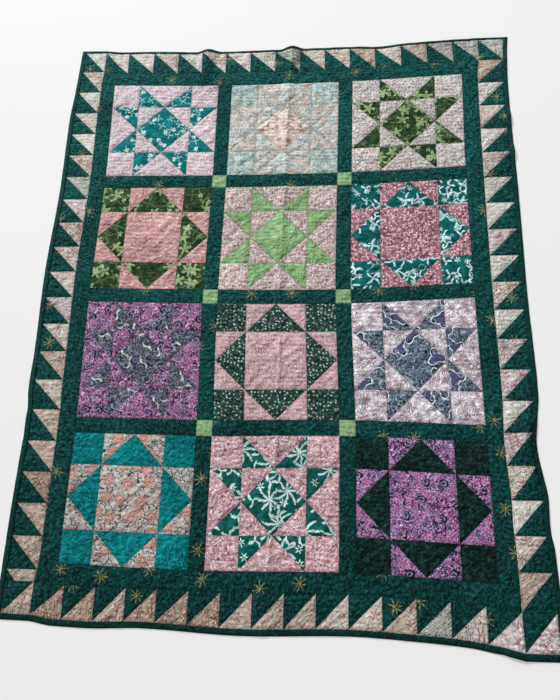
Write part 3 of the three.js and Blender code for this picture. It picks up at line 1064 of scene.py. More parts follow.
FOREST_FLOWERS = Cotton(
    "cotton_forest_green_flowers",
    FOREST,
    ("#2b4329", "#1b321c", "#3c5537"),
    18,
    (
        Motif("#56704a", 33, 19, 4, 0.08, 4.0, 1.4, 0.8),
        Swirl("#8da374", 52, 2.6, 0.04),
        Motif("#a0b684", 39, 18, 5, 0.3, 1.2, 0.9, 0.85, cluster=0.42),
        Motif("#667f55", 39, 15, 5, 0.02, 22.0, 0.9, 0.85, cluster=0.42),
        Motif("#c2d2a5", 27, 7.5, 5, 0.3, 1.2, share=0.5, cluster=0.42),
        Motif("#7c9663", 27, 2.4, 1, 1.0, share=0.5, cluster=0.42),
    ),
)
GREY_DITSY = Cotton(
    "cotton_pale_grey_ditsy",
    FOREST,
    ("#d3cecb", "#b5aeab", "#e4e1df"),
    6,
    (Motif("#5c5350", 7.4, 3.0, 3, 0.2, 1.5, share=0.8), Motif("#b98f90", 13, 3.4, 5, 0.5, share=0.6)),
)
DUSTY_ROSE = Cotton(
    "cotton_dusty_rose_sprigs",
    FOREST,
    ("#d0a2a1", "#bb8e8d", "#dfb3b1"),
    22,
    (
        Motif("#9c6668", 30, 9, 2, 0.08, 5.0, 1.5, 0.6),
        Motif("#f2e2dc", 23, 3.6, 4, 0.3, 1.4, share=0.85),
    ),
    crumple=1.6,
)
FRESH_GREEN = Cotton(
    "cotton_light_green_plain", LIGHT_GREEN, ("#90b781", "#7fa772", "#a1c691"), 18, crumple=1.8
)
SPECKLED_ROSE = Cotton(
    "cotton_speckled_rose",
    LIGHT_GREEN,
    ("#cfbcb9", "#b5a19f", "#e0d3d0"),
    9,
    (
        Motif("#c9939b", 17, 5.2, 5, 0.4, share=0.6),
        Motif("#665755", 7.4, 2.6, 3, 0.25, 1.3, share=0.8),
        Motif("#efe6e2", 9.4, 2.7, 4, 0.4, share=0.6),
    ),
    crumple=1.2,
)
TEAL_SPRAYS = Cotton(
    "cotton_teal_white_sprays",
    TEAL,
    ("#07605f", "#034f4e", "#107574"),
    20,
    (
        Swirl("#a7d6d6", 60, 3.0, 0.045),
        Motif("#c9eaec", 43, 23, 4, 0.07, 3.6, 1.9, 0.8),
        Motif("#d8f4f5", 28, 15, 3, 0.07, 4.0, 1.5, 0.6),
        Motif("#e2fafa", 37, 9, 6, 0.15, 1.8, 0.6, 0.6),
    ),
)
ROSE_LEAVES = Cotton(
    "cotton_rose_small_leaves",
    TEAL,
    ("#b47c89", "#975f6d", "#c68f9d"),
    14,
    (
        Motif("#532735", 8.2, 3.5, 3, 0.2, 1.5, 1.0, 0.8),
        Motif("#fadfe5", 8.8, 3.8, 3, 0.2, 1.5, 1.0, 0.8),
    ),
    crumple=1.5,
)
SLATE_MARBLE = Cotton(
    "cotton_slate_marble",
    SLATE,
    ("#505665", "#363c4a", "#6a7080"),
    18,
    (
        Swirl("#20242f", 27, 10, 0.4),
        Swirl("#989eac", 24, 8, 0.22),
        drop("#9298a8", 21, 8, 0.5, 0.9),
        drop("#554b6b", 40, 15, 0.5),
        drop("#1b1e2a", 40, 15, 0.5, 1.4),
        drop("#8f97ab", 40, 10, 0.5, 0.8),
        Motif("#cdd0c8", 44, 17, 2, 0.05, 8.0, 1.7, 0.7),
    ),
)
MAGENTA_MARBLE = Cotton(
    "cotton_magenta_marble",
    SLATE,
    ("#86487d", "#4f3357", "#a9548f"),
    24,
    (
        Swirl("#281c31", 20, 10, 0.34),
        Swirl("#ccbad5", 17, 9, 0.24),
        drop("#b05691", 23, 9, 0.6),
        drop("#cabad3", 23, 9, 0.6, 0.8),
        drop("#4d4464", 36, 15, 0.55),
        drop("#231a2b", 36, 15, 0.55, 1.4),
        drop("#b9a6c6", 36, 10, 0.55, 0.8),
    ),
)
GREEN_FLORETS = Cotton(
    "cotton_dark_green_florets",
    FOREST,
    ("#1f3e37", "#132f29", "#2c4b44"),
    12,
    (
        Motif("#5f8478", 8, 2.8, 2, 0.1, 1.5, share=0.65),
        Motif("#c4d8d1", 9, 2.5, 5, 0.4, share=0.6),
        Motif("#a5777c", 15, 2.6, 4, 0.5, share=0.5),
    ),
)
PINK_NET = Cotton(
    "cotton_pink_net",
    FOREST,
    ("#c8a3a7", "#b48d91", "#d8b8bb"),
    12,
    (Swirl("#e3cacd", 8, 5, 0.3), Motif("#946f75", 7.4, 2.1, 3, 0.3, share=0.65)),
)
BLUE_MARBLE = Cotton(
    "cotton_slate_blue_marble",
    SLATE,
    ("#5c697a", "#3f4b5b", "#748292"),
    18,
    (
        Swirl("#22303f", 28, 9, 0.4),
        Swirl("#9dabbb", 25, 8, 0.22),
        Motif("#54547a", 60, 16, 3, 0.5, 1.0, 0.6, 0.9),
        Motif("#1c242f", 60, 20, 3, 0.5, 1.0, 0.6, 0.9, line=1.6),
        Motif("#d9e0e8", 60, 24, 3, 0.5, 1.0, 0.6, 0.9, line=1.5),
        drop("#a3aec0", 33, 10, 0.5, 1.0),
    ),
)
FEATHER_SPRAYS = Cotton(
    "cotton_pale_feather_sprays",
    SLATE,
    ("#e2dbe4", "#c1b9c4", "#fbf8fd"),
    13,
    (
        Motif("#6f525c", 31, 19, 13, 0.04, 2.6, 0.8, 0.9),
        Motif("#a07b84", 20, 10, 9, 0.04, 2.2, 1.0, 0.8),
        Motif("#f6f4f9", 22, 4.4, 4, 0.5, share=0.45),
    ),
    crumple=1.3,
)
PLAIN_TEAL = Cotton("cotton_plain_teal", TEAL, ("#078285", "#046c70", "#0e9699"), 12, crumple=3.2)
CORAL_ROSES = Cotton(
    "cotton_cream_coral_roses",
    TEAL,
    ("#c0bbb6", "#a5a19c", "#d6d2ce"),
    9,
    (
        Swirl("#474e4b", 18, 4.4, 0.17),
        Motif("#404744", 17, 9.5, 3, 0.06, 5.0, 1.6, 0.85),
        Motif("#c4968c", 40, 15, 7, 0.72, 1.0, 0.6, 0.85),
        Motif("#9c6b64", 40, 12, 6, 0.5, 1.0, 1.0, 0.85, line=0.9),
        Motif("#d3ada2", 40, 7, 5, 0.6, share=0.85),
        Motif("#9a625b", 40, 2.6, 5, 0.6, share=0.85),
        Motif("#c9a096", 23, 6, 5, 0.5, share=0.4),
    ),
)
EMERALD_FRONDS = Cotton(
    "cotton_emerald_white_fronds",
    EMERALD,
    ("#0a5a54", "#054843", "#146c66"),
    18,
    (
        Motif("#c3ddd9", 64, 38, 8, 0.1, 2.2, 3.2, 0.75),
        Motif("#cfe5e2", 39, 20, 3, 0.07, 3.6, 2.0, 0.5),
        Motif("#e0f2f0", 35, 10, 6, 0.2, 1.6, share=0.45),
        Motif("#0a4f4a", 35, 2.2, 1, 1.0, share=0.45),
    ),
)
ROSE_SCROLL = Cotton(
    "cotton_rose_scroll",
    EMERALD,
    ("#c69aa2", "#ad8089", "#d7aeb5"),
    14,
    (
        Swirl("#efdade", 17, 5.5, 0.34),
        Swirl("#8f5e68", 18, 5.0, 0.15),
    ),
)
BLACK_GREEN = Cotton(
    "cotton_black_green_plain", FOREST, ("#122e2b", "#081d1b", "#20443f"), 12, crumple=3.8
)
LILAC_FLOWERS = Cotton(
    "cotton_lilac_outlined_flowers",
    FOREST,
    ("#8e6299", "#684a78", "#b15a93"),
    26,
    (
        Swirl("#cdb9dc", 17, 8, 0.26),
        Swirl("#26182d", 20, 8, 0.22),
        Motif("#a4558c", 30, 13, 6, 0.6, 1.0, 0.6, 0.7),
        Motif("#cdbbd8", 30, 13, 6, 0.6, 1.0, 0.6, 0.7, line=0.8),
        Motif("#c2aed2", 30, 6, 5, 0.5, 1.0, 0.6, 0.7, line=0.7),
        drop("#4a3a5a", 39, 14, 0.6),
        drop("#231729", 39, 14, 0.6, 1.4),
        drop("#a9b0cc", 39, 9, 0.6, 0.9),
        drop("#3a2b45", 22, 6, 0.45, 0.9),
        Motif("#2b1d31", 58, 17, 5, 0.5, share=0.8, line=1.4),
    ),
)
TOOTH_COTTONS = {
    "c": Cotton(
        "cotton_tooth_cream",
        TEETH_CLOTH,
        ("#d4d2cb", "#c3c0b8", "#e2e0da"),
        12,
        (Motif("#b79d93", 25, 9, 5, 0.08, 2.6, 1.2, 0.55),),
        crumple=1.7,
    ),
    "f": Cotton(
        "cotton_tooth_cream_sprays",
        TEETH_CLOTH,
        ("#ccc4ba", "#b8aea3", "#dcd6ce"),
        9,
        (
            Motif("#a5766f", 31, 14, 6, 0.08, 2.6, 1.4, 0.7),
            Motif("#8f8f78", 17, 4.6, 3, 0.2, 1.5, 1.0, 0.5),
        ),
        crumple=1.7,
    ),
    "p": Cotton(
        "cotton_tooth_blush",
        TEETH_CLOTH,
        ("#cdc0c0", "#b9a9a9", "#ddd3d3"),
        8,
        (
            *blossoms(24, 7.5, "#bb8f93", "#94696c", "#8f8a88", 0.7),
            Motif("#efe8e8", 13, 3.0, 4, 0.4, share=0.4),
        ),
        crumple=1.7,
    ),
    "t": Cotton(
        "cotton_tooth_tan_sprays",
        TEETH_CLOTH,
        ("#ad9785", "#967f6f", "#c0ac9b"),
        9,
        (Motif("#7a554a", 28, 13, 6, 0.08, 2.6, 1.4, 0.7), Motif("#cdbdad", 15, 3.6, 4, 0.4, share=0.5)),
        crumple=1.7,
    ),
    "g": Cotton(
        "cotton_tooth_grey_sage",
        TEETH_CLOTH,
        ("#b3b4ac", "#9c9e95", "#c6c8c1"),
        8,
        (Motif("#80706a", 26, 11, 5, 0.08, 2.6, 1.0, 0.65),),
        crumple=1.7,
    ),
    "w": Cotton(
        "cotton_tooth_warm_cream",
        TEETH_CLOTH,
        ("#bcab9d", "#a6968a", "#ccbdb1"),
        10,
        (Motif("#936d64", 29, 12, 5, 0.08, 2.4, 1.2, 0.6),),
        crumple=1.7,
    ),
}


@dataclass
class Cells:
    """What each cell of a panel's face is cut from.

    slash says how a cell is split between two patches. low and high are the cottons, as
    numbers in the panel's list, and the keys are the patches that the halves belong to.
    """

    slash: np.ndarray
    low: np.ndarray
    high: np.ndarray
    low_key: np.ndarray
    high_key: np.ndarray

    @classmethod
    def plain(cls, shape: tuple[int, int]) -> "Cells":
        """Cells that are all one patch of the first cotton."""
        return cls(*(np.zeros(shape, int) for _ in range(5)))


SPLITS = {Slash.NONE: 0, Slash.RISING: 1, Slash.FALLING: 2}


class Workshop:
    """What every panel is made with: the layout, the quilting and the dyed cottons."""

    def __init__(self) -> None:
        """Works out the origin and readies the shared node groups."""
        self.layout = Layout()
        self.quilting = Quilting()
        self.origin = self.layout.centre()
        self._kit = PrintKit()
        self._materials: dict[str, bpy.types.Material] = {}

    def material(self, cotton: Cotton) -> bpy.types.Material:
        """The cotton's material, made once.

        Args:
            cotton: the cotton.

        Returns:
            Its material.
        """
        if cotton.name not in self._materials:
            self._materials[cotton.name] = cotton.material(self._kit)
        return self._materials[cotton.name]


@dataclass
class Panel:
    """One sewn and quilted panel, a closed slab that stands for its CAD node."""

    node: str
    us: np.ndarray
    vs: np.ndarray
    cottons: list[Cotton]
    puff: float = 1.2
    seams: list[Segment] = field(default_factory=list)

    # The mesh's cells, how far from a seam the puff, the quilting's hold and the painted seam shade
    # reach, and how much of the quilting a seam holds flat. Lengths are in millimetres.
    CELL = 2.95
    PUFF_REACH = 8.0
    HOLD_REACH = 3.5
    HOLD = 0.75
    SHADE_REACH = 1.7
    # How far a patch was cut askew, in radians, and how far apart on the bolt, in metres.
    ASKEW = 0.05
    BOLT = 20.0
    # Edges that turn by more than this many degrees stay sharp.
    SHARP = 50.0

    def grid(self) -> tuple[np.ndarray, np.ndarray]:
        """The seam coordinates of the face's grid, indexed [i, j] along u and v."""
        return np.meshgrid(self.us, self.vs, indexing="ij")

    def cells(self) -> Cells:
        """What each cell is cut from."""
        return Cells.plain((len(self.us) - 1, len(self.vs) - 1))

    def relief(self, u: np.ndarray, v: np.ndarray, away: np.ndarray, shop: Workshop) -> np.ndarray:
        """How far the face stands above its seams, in millimetres.

        Args:
            u: places to the right.
            v: places along the length.
            away: the distance to the nearest seam.
            shop: the shared layout and quilting.

        Returns:
            One height for each place.
        """
        held = 1 - self.HOLD * np.exp(-away / self.HOLD_REACH)
        return self.puff * (1 - np.exp(-away / self.PUFF_REACH)) + held * shop.quilting.relief(u, v)

    def under(self, lift: np.ndarray, shop: Workshop) -> np.ndarray:
        """The height of the panel's back over the floor, in millimetres."""
        return np.maximum(0, lift - shop.layout.solid_rise)

    def slot(self) -> str:
        """The record's slot for the panel's cloth."""
        return self.cottons[0].slot

    def flat(self) -> tuple[float, float]:
        """The panel's sewn width and length, in metres."""
        return float(np.ptp(self.us)) * MM, float(np.ptp(self.vs)) * MM

    def build(self, shop: Workshop) -> bpy.types.Object:
        """Makes the panel's mesh and dresses it.

        Args:
            shop: the shared layout, quilting and cottons.

        Returns:
            The finished piece.
        """
        grid_u, grid_v = self.grid()
        u, v = grid_u.ravel(), grid_v.ravel()
        away = nearest_seam(u, v, [*outline_seams(self.us, self.vs), *self.seams])
        lift = shop.layout.rise(u, v)
        x, y = shop.layout.laid(u, v)
        x, y = x - shop.origin[0], y - shop.origin[1]
        top = shop.layout.seam_thickness + lift + self.relief(u, v, away, shop)
        under = self.under(lift, shop)
        faces, cotton, key, ring = self._faces(grid_u.shape)
        points = np.concatenate(
            [np.column_stack([x, y, top]), np.column_stack([x[ring], y[ring], under[ring]])]
        )
        mesh = bpy.data.meshes.new(self.node)
        mesh.from_pydata((points * MM).tolist(), [], faces)
        seam = np.concatenate([u, u[ring]]), np.concatenate([v, v[ring]])
        self._dress(mesh, cotton, key, seam, np.concatenate([away, away[ring]]), shop)
        piece = bpy.data.objects.new(f"quilted_{self.node}", mesh)
        bpy.context.scene.collection.objects.link(piece)
        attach(piece, "root")
        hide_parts(self.node)
        self.slot()
        self.flat()
        LOG.info("%s: %d faces", piece.name, len(faces))
        return piece

    def _faces(self, shape: tuple[int, int]) -> tuple[list[list[int]], np.ndarray, np.ndarray, np.ndarray]:
        """The slab's faces: its quilted face, its walls and its back.

        Args:
            shape: how many grid points there are along u and v.

        Returns:
            The faces, each one's cotton and patch, and the rim's grid points in order.
        """
        number = np.arange(shape[0] * shape[1]).reshape(shape)
        a, b, c, d = number[:-1, :-1], number[1:, :-1], number[1:, 1:], number[:-1, 1:]
        cells = self.cells()
        faces: list[list[int]] = []
        cotton, key = [], []
        whole, rising, falling = (cells.slash == n for n in range(3))
        parts = (
            (whole, (a, b, c, d), cells.low, cells.low_key),
            (rising, (a, b, c), cells.low, cells.low_key),
            (rising, (a, c, d), cells.high, cells.high_key),
            (falling, (a, b, d), cells.low, cells.low_key),
            (falling, (b, c, d), cells.high, cells.high_key),
        )
        for mask, corners, kinds, keys in parts:
            faces += np.column_stack([corner[mask] for corner in corners]).tolist()
            cotton.append(kinds[mask])
            key.append(keys[mask])
        ring = np.concatenate([number[:-1, 0], number[-1, :-1], number[:0:-1, -1], number[0, :0:-1]])
        upper, lower = ring, number.size + np.arange(len(ring))
        walls = np.column_stack([lower, np.roll(lower, -1), np.roll(upper, -1), upper])
        back = self._back(shape, lower)
        faces += walls.tolist() + back
        backing = len(self.cottons)
        rest = np.full(len(walls) + len(back), backing)
        return faces, np.concatenate([*cotton, rest]), np.concatenate([*key, np.zeros(len(rest), int)]), ring

    @staticmethod
    def _back(shape: tuple[int, int], lower: np.ndarray) -> list[list[int]]:
        """The back's faces, as rungs across the panel's shorter way.

        Args:
            shape: how many grid points there are along u and v.
            lower: the back's rim points, in order from the corner of least u and v.

        Returns:
            The faces, looking down.
        """
        across, along = shape[0] - 1, shape[1] - 1
        rim = [int(n) for n in lower]
        south = rim[: across + 1]
        east = rim[across : across + along + 1]
        north = rim[across + along : 2 * across + along + 1][::-1]
        west = ([rim[0]] + rim[:-along - 1:-1]) if along else []
        if along >= across:
            first, last, near, far = south, north, west, east
        else:
            first, last, near, far = west, east, south, north
        rungs = [[near[k], near[k + 1], far[k + 1], far[k]] for k in range(1, len(near) - 2)]
        start = [*first[::-1], near[1], far[1]]
        end = [near[-2], *last, far[-2]]
        faces = [start, *rungs, end]
        return faces if along >= across else [face[::-1] for face in faces]

    def _dress(
        self,
        mesh: bpy.types.Mesh,
        cotton: np.ndarray,
        key: np.ndarray,
        seam: tuple[np.ndarray, np.ndarray],
        away: np.ndarray,
        shop: Workshop,
    ) -> None:
        """Gives the mesh its cottons, its print map and its seam and quilting attributes.

        Args:
            mesh: the panel's mesh.
            cotton: each face's cotton.
            key: each face's patch.
            seam: each point's seam coordinates.
            away: each point's distance to the nearest seam.
            shop: the shared layout, quilting and cottons.
        """
        for each in [*self.cottons, BACKING]:
            mesh.materials.append(shop.material(each))
        mesh.polygons.foreach_set("material_index", cotton.astype(np.int32))
        mesh.polygons.foreach_set("use_smooth", np.ones(len(cotton), bool))
        counts = np.empty(len(cotton), np.int32)
        mesh.polygons.foreach_get("loop_total", counts)
        corner = np.empty(int(counts.sum()), np.int32)
        mesh.loops.foreach_get("vertex_index", corner)
        rng = np.random.default_rng(sum(ord(letter) * (n + 1) for n, letter in enumerate(self.node)))
        count = int(key.max()) + 1
        turns = rng.integers(0, 4, count) * math.pi / 2 + rng.normal(0, self.ASKEW, count)
        starts = rng.uniform(-self.BOLT, self.BOLT, (count, 2))
        patch = np.repeat(key, counts)
        cos, sin = np.cos(turns[patch]), np.sin(turns[patch])
        u, v = seam[0][corner] * MM, seam[1][corner] * MM
        uv = np.column_stack([cos * u - sin * v, sin * u + cos * v]) + starts[patch]
        mesh.uv_layers.new(name=CLOTH_UV).data.foreach_set("uv", uv.ravel())
        # How near each point is to a seam, for the cottons' painted seam shade.
        near = mesh.attributes.new(SEAM_NEARNESS, "FLOAT", "POINT")
        near.data.foreach_set("value", np.exp(-away / self.SHADE_REACH).astype(np.float32))
        phase = mesh.attributes.new(QUILT_PHASE, "FLOAT", "POINT")
        phase.data.foreach_set("value", shop.quilting.phase(*seam).astype(np.float32))
        mesh.set_sharp_from_angle(angle=math.radians(self.SHARP))
        mesh.update()


def divide(cuts: Sequence[float], step: float) -> np.ndarray:
    """Places between cuts, each span divided evenly in steps of about the size given.

    Args:
        cuts: where the spans begin and end.
        step: the wanted step.

    Returns:
        All the places, the cuts among them.
    """
    places = [np.array([cuts[0]])]
    for low, high in zip(cuts, cuts[1:]):
        places.append(np.linspace(low, high, max(1, round((high - low) / step)) + 1)[1:])
    return np.concatenate(places)


class BlockPattern(Enum):
    """How a block is pieced: its seams, and which halves of its squares are the figure.

    The maps go row by row from the top. In the seam map a slash is a half-square triangle. In
    the figure map l and u are the lower and upper half beside the seam, f the whole square
    and g none of it. The lines are the diagonal seams, in patches from the lower left.
    """

    STAR = "star"
    WINDOW = "window"

    @property
    def seam_map(self) -> tuple[str, ...]:
        """The squares' seams.

        Returns:
            One row of letters for each row of squares, top row first.
        """
        if self is BlockPattern.STAR:
            return (".\\/.", "\\/\\/", "/\\/\\", "./\\.")
        return ("./\\.", "/..\\", "\\../", ".\\/.")

    @property
    def figure_map(self) -> tuple[str, ...]:
        """Where the figure is.

        Returns:
            One row of letters for each row of squares, top row first.
        """
        if self is BlockPattern.STAR:
            return ("gllg", "ullu", "luul", "guug")
        return ("fllf", "lggl", "uggu", "fuuf")

    @property
    def lines(self) -> tuple[tuple[tuple[int, int], ...], ...]:
        """The seams inside the block.

        Returns:
            Runs of corners, in patches from the lower left.
        """
        straight = tuple(((n, 0), (n, 4)) for n in (1, 3)) + tuple(((0, n), (4, n)) for n in (1, 3))
        if self is BlockPattern.STAR:
            return straight + (
                ((1, 4), (2, 3), (3, 4)),
                ((0, 3), (1, 2), (0, 1)),
                ((1, 0), (2, 1), (3, 0)),
                ((4, 3), (3, 2), (4, 1)),
                ((1, 2), (2, 3), (3, 2), (2, 1), (1, 2)),
            )
        return straight + (
            ((1, 3), (2, 4), (3, 3)),
            ((1, 3), (0, 2), (1, 1)),
            ((1, 1), (2, 0), (3, 1)),
            ((3, 3), (4, 2), (3, 1)),
        )


@dataclass
class PiecedBlock(Panel):
    """One block of four by four patches."""

    pattern: BlockPattern = BlockPattern.STAR
    puff: float = 1.8

    # How many squares a block has each way, and which of them are its ends and its middle.
    SQUARES = 4
    ENDS = (0, 3)
    MIDDLE = (1, 2)

    @classmethod
    def at(
        cls, layout: Layout, row: int, column: int, pattern: BlockPattern, cottons: list[Cotton]
    ) -> "PiecedBlock":
        """The block in a row and column of the throw.

        Args:
            layout: the sewn sizes.
            row: the row, 1 at the top.
            column: the column, 1 at the left.
            pattern: how it is pieced.
            cottons: the figure's and the ground's, then the corners' and the middle's if they differ.

        Returns:
            The block, not yet built.
        """
        pitch = layout.block + layout.sash
        u0 = -layout.grid[0] + (column - 1) * pitch
        v0 = layout.grid[1] - layout.block - (row - 1) * pitch
        patch = layout.patch
        places = np.arange(layout.patches + 1) * patch
        seams = []
        for line in pattern.lines:
            points = [(u0 + p * patch, v0 + q * patch) for p, q in line]
            seams += [Segment(a, b) for a, b in zip(points, points[1:])]
        name = f"block_r{row}_c{column}"
        us, vs = divide(u0 + places, cls.CELL), divide(v0 + places, cls.CELL)
        return cls(name, us, vs, cottons, seams=seams, pattern=pattern)

    def cells(self) -> Cells:
        """Splits each square along its seam and names both halves' cotton.

        Returns:
            What each cell is cut from.
        """
        count = len(self.us) - 1
        each = count // self.SQUARES
        cells = Cells.plain((count, count))
        i, j = np.meshgrid(np.arange(each), np.arange(each), indexing="ij")
        for p in range(self.SQUARES):
            for q in range(self.SQUARES):
                seam = Slash(self.pattern.seam_map[-1 - q][p])
                figure = self.pattern.figure_map[-1 - q][p]
                block = np.s_[p * each : (p + 1) * each, q * each : (q + 1) * each]
                self._fill(cells, block, seam, figure, (p, q), i, j)
        return cells

    def _fill(
        self,
        cells: Cells,
        block: tuple[slice, slice],
        seam: Slash,
        figure: str,
        square: tuple[int, int],
        i: np.ndarray,
        j: np.ndarray,
    ) -> None:
        """Fills one square's cells.

        Args:
            cells: the block's cells.
            block: the square's part of them.
            seam: the square's seam.
            figure: which half is the figure.
            square: the square's column and row, from the lower left.
            i: each cell's place across the square.
            j: each cell's place up the square.
        """
        each = len(i)
        kinds = {"l": (0, 1), "u": (1, 0), "f": (0, 0), "g": (1, 1)}[figure]
        low, high = (self._cotton(kind, square) for kind in kinds)
        keys = tuple(self._key(kind, square, half) for half, kind in enumerate(kinds))
        if seam is Slash.NONE:
            on_seam, is_high = np.zeros_like(i, bool), np.zeros_like(i, bool)
        elif seam is Slash.RISING:
            on_seam, is_high = i == j, j > i
        else:
            on_seam, is_high = i + j == each - 1, i + j > each - 1
        cells.slash[block] = np.where(on_seam, SPLITS[seam], 0)
        cells.low[block] = np.where(is_high, high, low)
        cells.high[block] = high
        cells.low_key[block] = np.where(is_high, keys[1], keys[0])
        cells.high_key[block] = keys[1]

    def _cotton(self, kind: int, square: tuple[int, int]) -> int:
        """The cotton of a patch.

        Args:
            kind: 0 for the figure's and 1 for the ground's.
            square: the square's column and row, from the lower left.

        Returns:
            The cotton's number, which in some blocks is the corners' or the middle's own.
        """
        p, q = square
        if len(self.cottons) > 2 and p in self.ENDS and q in self.ENDS:
            return 2
        if len(self.cottons) > 3 and kind == 0 and p in self.MIDDLE and q in self.MIDDLE:
            return 3
        return kind

    def _key(self, kind: int, square: tuple[int, int], half: int) -> int:
        """One number for each patch, the same for the halves that are cut in one.

        Args:
            kind: 0 for the figure and 1 for the ground.
            square: the square's column and row, from the lower left.
            half: 0 for the square's lower half and 1 for its upper half.

        Returns:
            The patch's number.
        """
        p, q = square
        is_middle = p in self.MIDDLE and q in self.MIDDLE
        is_side = not is_middle and (p in self.MIDDLE or q in self.MIDDLE)
        side = 1 + 2 * (p in self.MIDDLE) + (p + q >= self.SQUARES)
        joined = 1 if self.pattern is BlockPattern.STAR else 0
        if is_side and kind == joined:
            return side
        if is_middle and (kind == 1 - joined):
            return 5
        return 6 + (p * self.SQUARES + q) * 2 + half


@dataclass
class SawtoothStrip(Panel):
    """One side's row of half-square triangles."""

    side: Side = Side.TOP
    cuts: list[float] = field(default_factory=list)
    lights: str = "c"
    puff: float = 1.6

    @property
    def slash(self) -> Slash:
        """The way this side's seams run."""
        return Slash.FALLING if self.side in (Side.TOP, Side.LEFT) else Slash.RISING

    def slot(self) -> str:
        """The record's slot for the two cloths that the teeth are cut from."""
        return TEETH_CLOTH

    def cells(self) -> Cells:
        """Splits each tooth along its seam, the light half up or down as sewn.

        Returns:
            What each cell is cut from.
        """
        cells = Cells.plain((len(self.us) - 1, len(self.vs) - 1))
        over = cells.slash.shape[1] if self.side.across else cells.slash.shape[0]
        along_places = self.us if self.side.across else self.vs
        marks = [int(np.argmin(np.abs(along_places - cut))) for cut in self.cuts]
        order = list(TOOTH_COTTONS)
        for tooth, (low, high) in enumerate(zip(marks, marks[1:])):
            span = np.s_[low:high, :] if self.side.across else np.s_[:, low:high]
            shape = cells.slash[span].shape
            i, j = np.meshgrid(np.arange(shape[0]), np.arange(shape[1]), indexing="ij")
            light = 1 + order.index(self.lights[tooth % len(self.lights)])
            if self.slash is Slash.RISING:
                on_seam, is_high = i == j, j > i
            else:
                # A cut tooth is the upper end of a whole one.
                reach = min(high - low, over) - 1
                on_seam, is_high = i + j == reach, i + j > reach
            light_is_high = self.side in (Side.TOP, Side.LEFT, Side.RIGHT)
            low_cotton, high_cotton = (0, light) if light_is_high else (light, 0)
            cells.slash[span] = np.where(on_seam, SPLITS[self.slash], 0)
            cells.low[span] = np.where(is_high, high_cotton, low_cotton)
            cells.high[span] = high_cotton
            cells.low_key[span] = np.where(is_high, 2 * tooth + 1, 2 * tooth)
            cells.high_key[span] = 2 * tooth + 1
        return cells


@dataclass
class BindingStrip(Panel):
    """One side's binding, rolled over the raw edge and mitred at both ends."""

    side: Side = Side.TOP
    ends: tuple[float, float] = (0.0, 0.0)
    puff: float = 1.9

    # How many cells go round the roll, and how much cloth turns under the edge, in millimetres.
    ROLL_CELLS = 7
    TURN = 5.0

    def grid(self) -> tuple[np.ndarray, np.ndarray]:
        """The grid, with its end lines slanted to the mitres.

        Returns:
            The seam coordinates, indexed [i, j] along u and v.
        """
        grid_u, grid_v = np.meshgrid(self.us, self.vs, indexing="ij")
        along, over = (grid_u, grid_v) if self.side.across else (grid_v, grid_u)
        mitre = np.where(along < 0, -self.ends[0], self.ends[1]) * self._share(over)
        moved = along + mitre * np.abs(along) / np.abs(along).max()
        return (moved, grid_v) if self.side.across else (grid_u, moved)

    def _share(self, over: np.ndarray) -> np.ndarray:
        """How far across the binding a place is, from 0 at its seam to 1 at the edge."""
        inner, outer = np.abs(over).min(), np.abs(over).max()
        return (np.abs(over) - inner) / (outer - inner)

    def relief(self, u: np.ndarray, v: np.ndarray, away: np.ndarray, shop: Workshop) -> np.ndarray:
        """A round roll that stands up from its seam and turns under at the edge.

        Args:
            u: places to the right.
            v: places along the length.
            away: the distance to the nearest seam.
            shop: the shared layout and quilting.

        Returns:
            One height above the seams for each place, in millimetres.
        """
        share = self._share(v if self.side.across else u)
        # The roll is highest a fifth of the way out, and a quarter as high at the edge.
        roll = np.sqrt(np.clip(1 - (1.25 * share - 0.25) ** 2 * 0.94, 0.05, 1))
        thickness = shop.layout.seam_thickness + self.puff
        return thickness * roll - shop.layout.seam_thickness + 0.35 * wander(u, v, 21, 21, 29)

    def flat(self) -> tuple[float, float]:
        """The strip's width with its turn over the edge, and its length, in metres."""
        wide, long = super().flat()
        return (wide, long + self.TURN * MM) if self.side.across else (wide + self.TURN * MM, long)


BLOCKS: dict[tuple[int, int], tuple[BlockPattern, list[Cotton]]] = {
    (1, 1): (BlockPattern.STAR, [TEAL_DAISIES, PINK_MIST]),
    (1, 2): (BlockPattern.STAR, [PASTEL_POINTS, PASTEL_BLUE, PASTEL_CORNER, PASTEL_PEACH]),
    (1, 3): (BlockPattern.STAR, [FOREST_FLOWERS, GREY_DITSY]),
    (2, 1): (BlockPattern.WINDOW, [FOREST_FLOWERS, DUSTY_ROSE]),
    (2, 2): (BlockPattern.STAR, [FRESH_GREEN, SPECKLED_ROSE]),
    (2, 3): (BlockPattern.WINDOW, [TEAL_SPRAYS, ROSE_LEAVES]),
    (3, 1): (BlockPattern.STAR, [SLATE_MARBLE, MAGENTA_MARBLE]),
    (3, 2): (BlockPattern.WINDOW, [GREEN_FLORETS, PINK_NET]),
    (3, 3): (BlockPattern.STAR, [BLUE_MARBLE, FEATHER_SPRAYS]),
    (4, 1): (BlockPattern.WINDOW, [PLAIN_TEAL, CORAL_ROSES]),
    (4, 2): (BlockPattern.STAR, [EMERALD_FRONDS, ROSE_SCROLL]),
    (4, 3): (BlockPattern.WINDOW, [BLACK_GREEN, LILAC_FLOWERS]),
}


@dataclass(frozen=True)
class TeethRow:
    """One side's teeth: the whole ones between the corner squares, and a cut one's share.

    lights has the light halves' cottons from the low end, by their letters in TOOTH_COTTONS.
    """

    whole: int
    part: float
    lights: str


TEETH = {
    Side.TOP: TeethRow(15, 0.0, "cccfcfccgffwfwggg"),
    Side.RIGHT: TeethRow(19, 0.0, "wfcfpcppcfcpccfcfcw"),
    Side.BOTTOM: TeethRow(15, 0.0, "wttwtttwwwffwgfpp"),
    Side.LEFT: TeethRow(19, 0.35, "wwwtwwfwfpfffpgfcccf"),
}


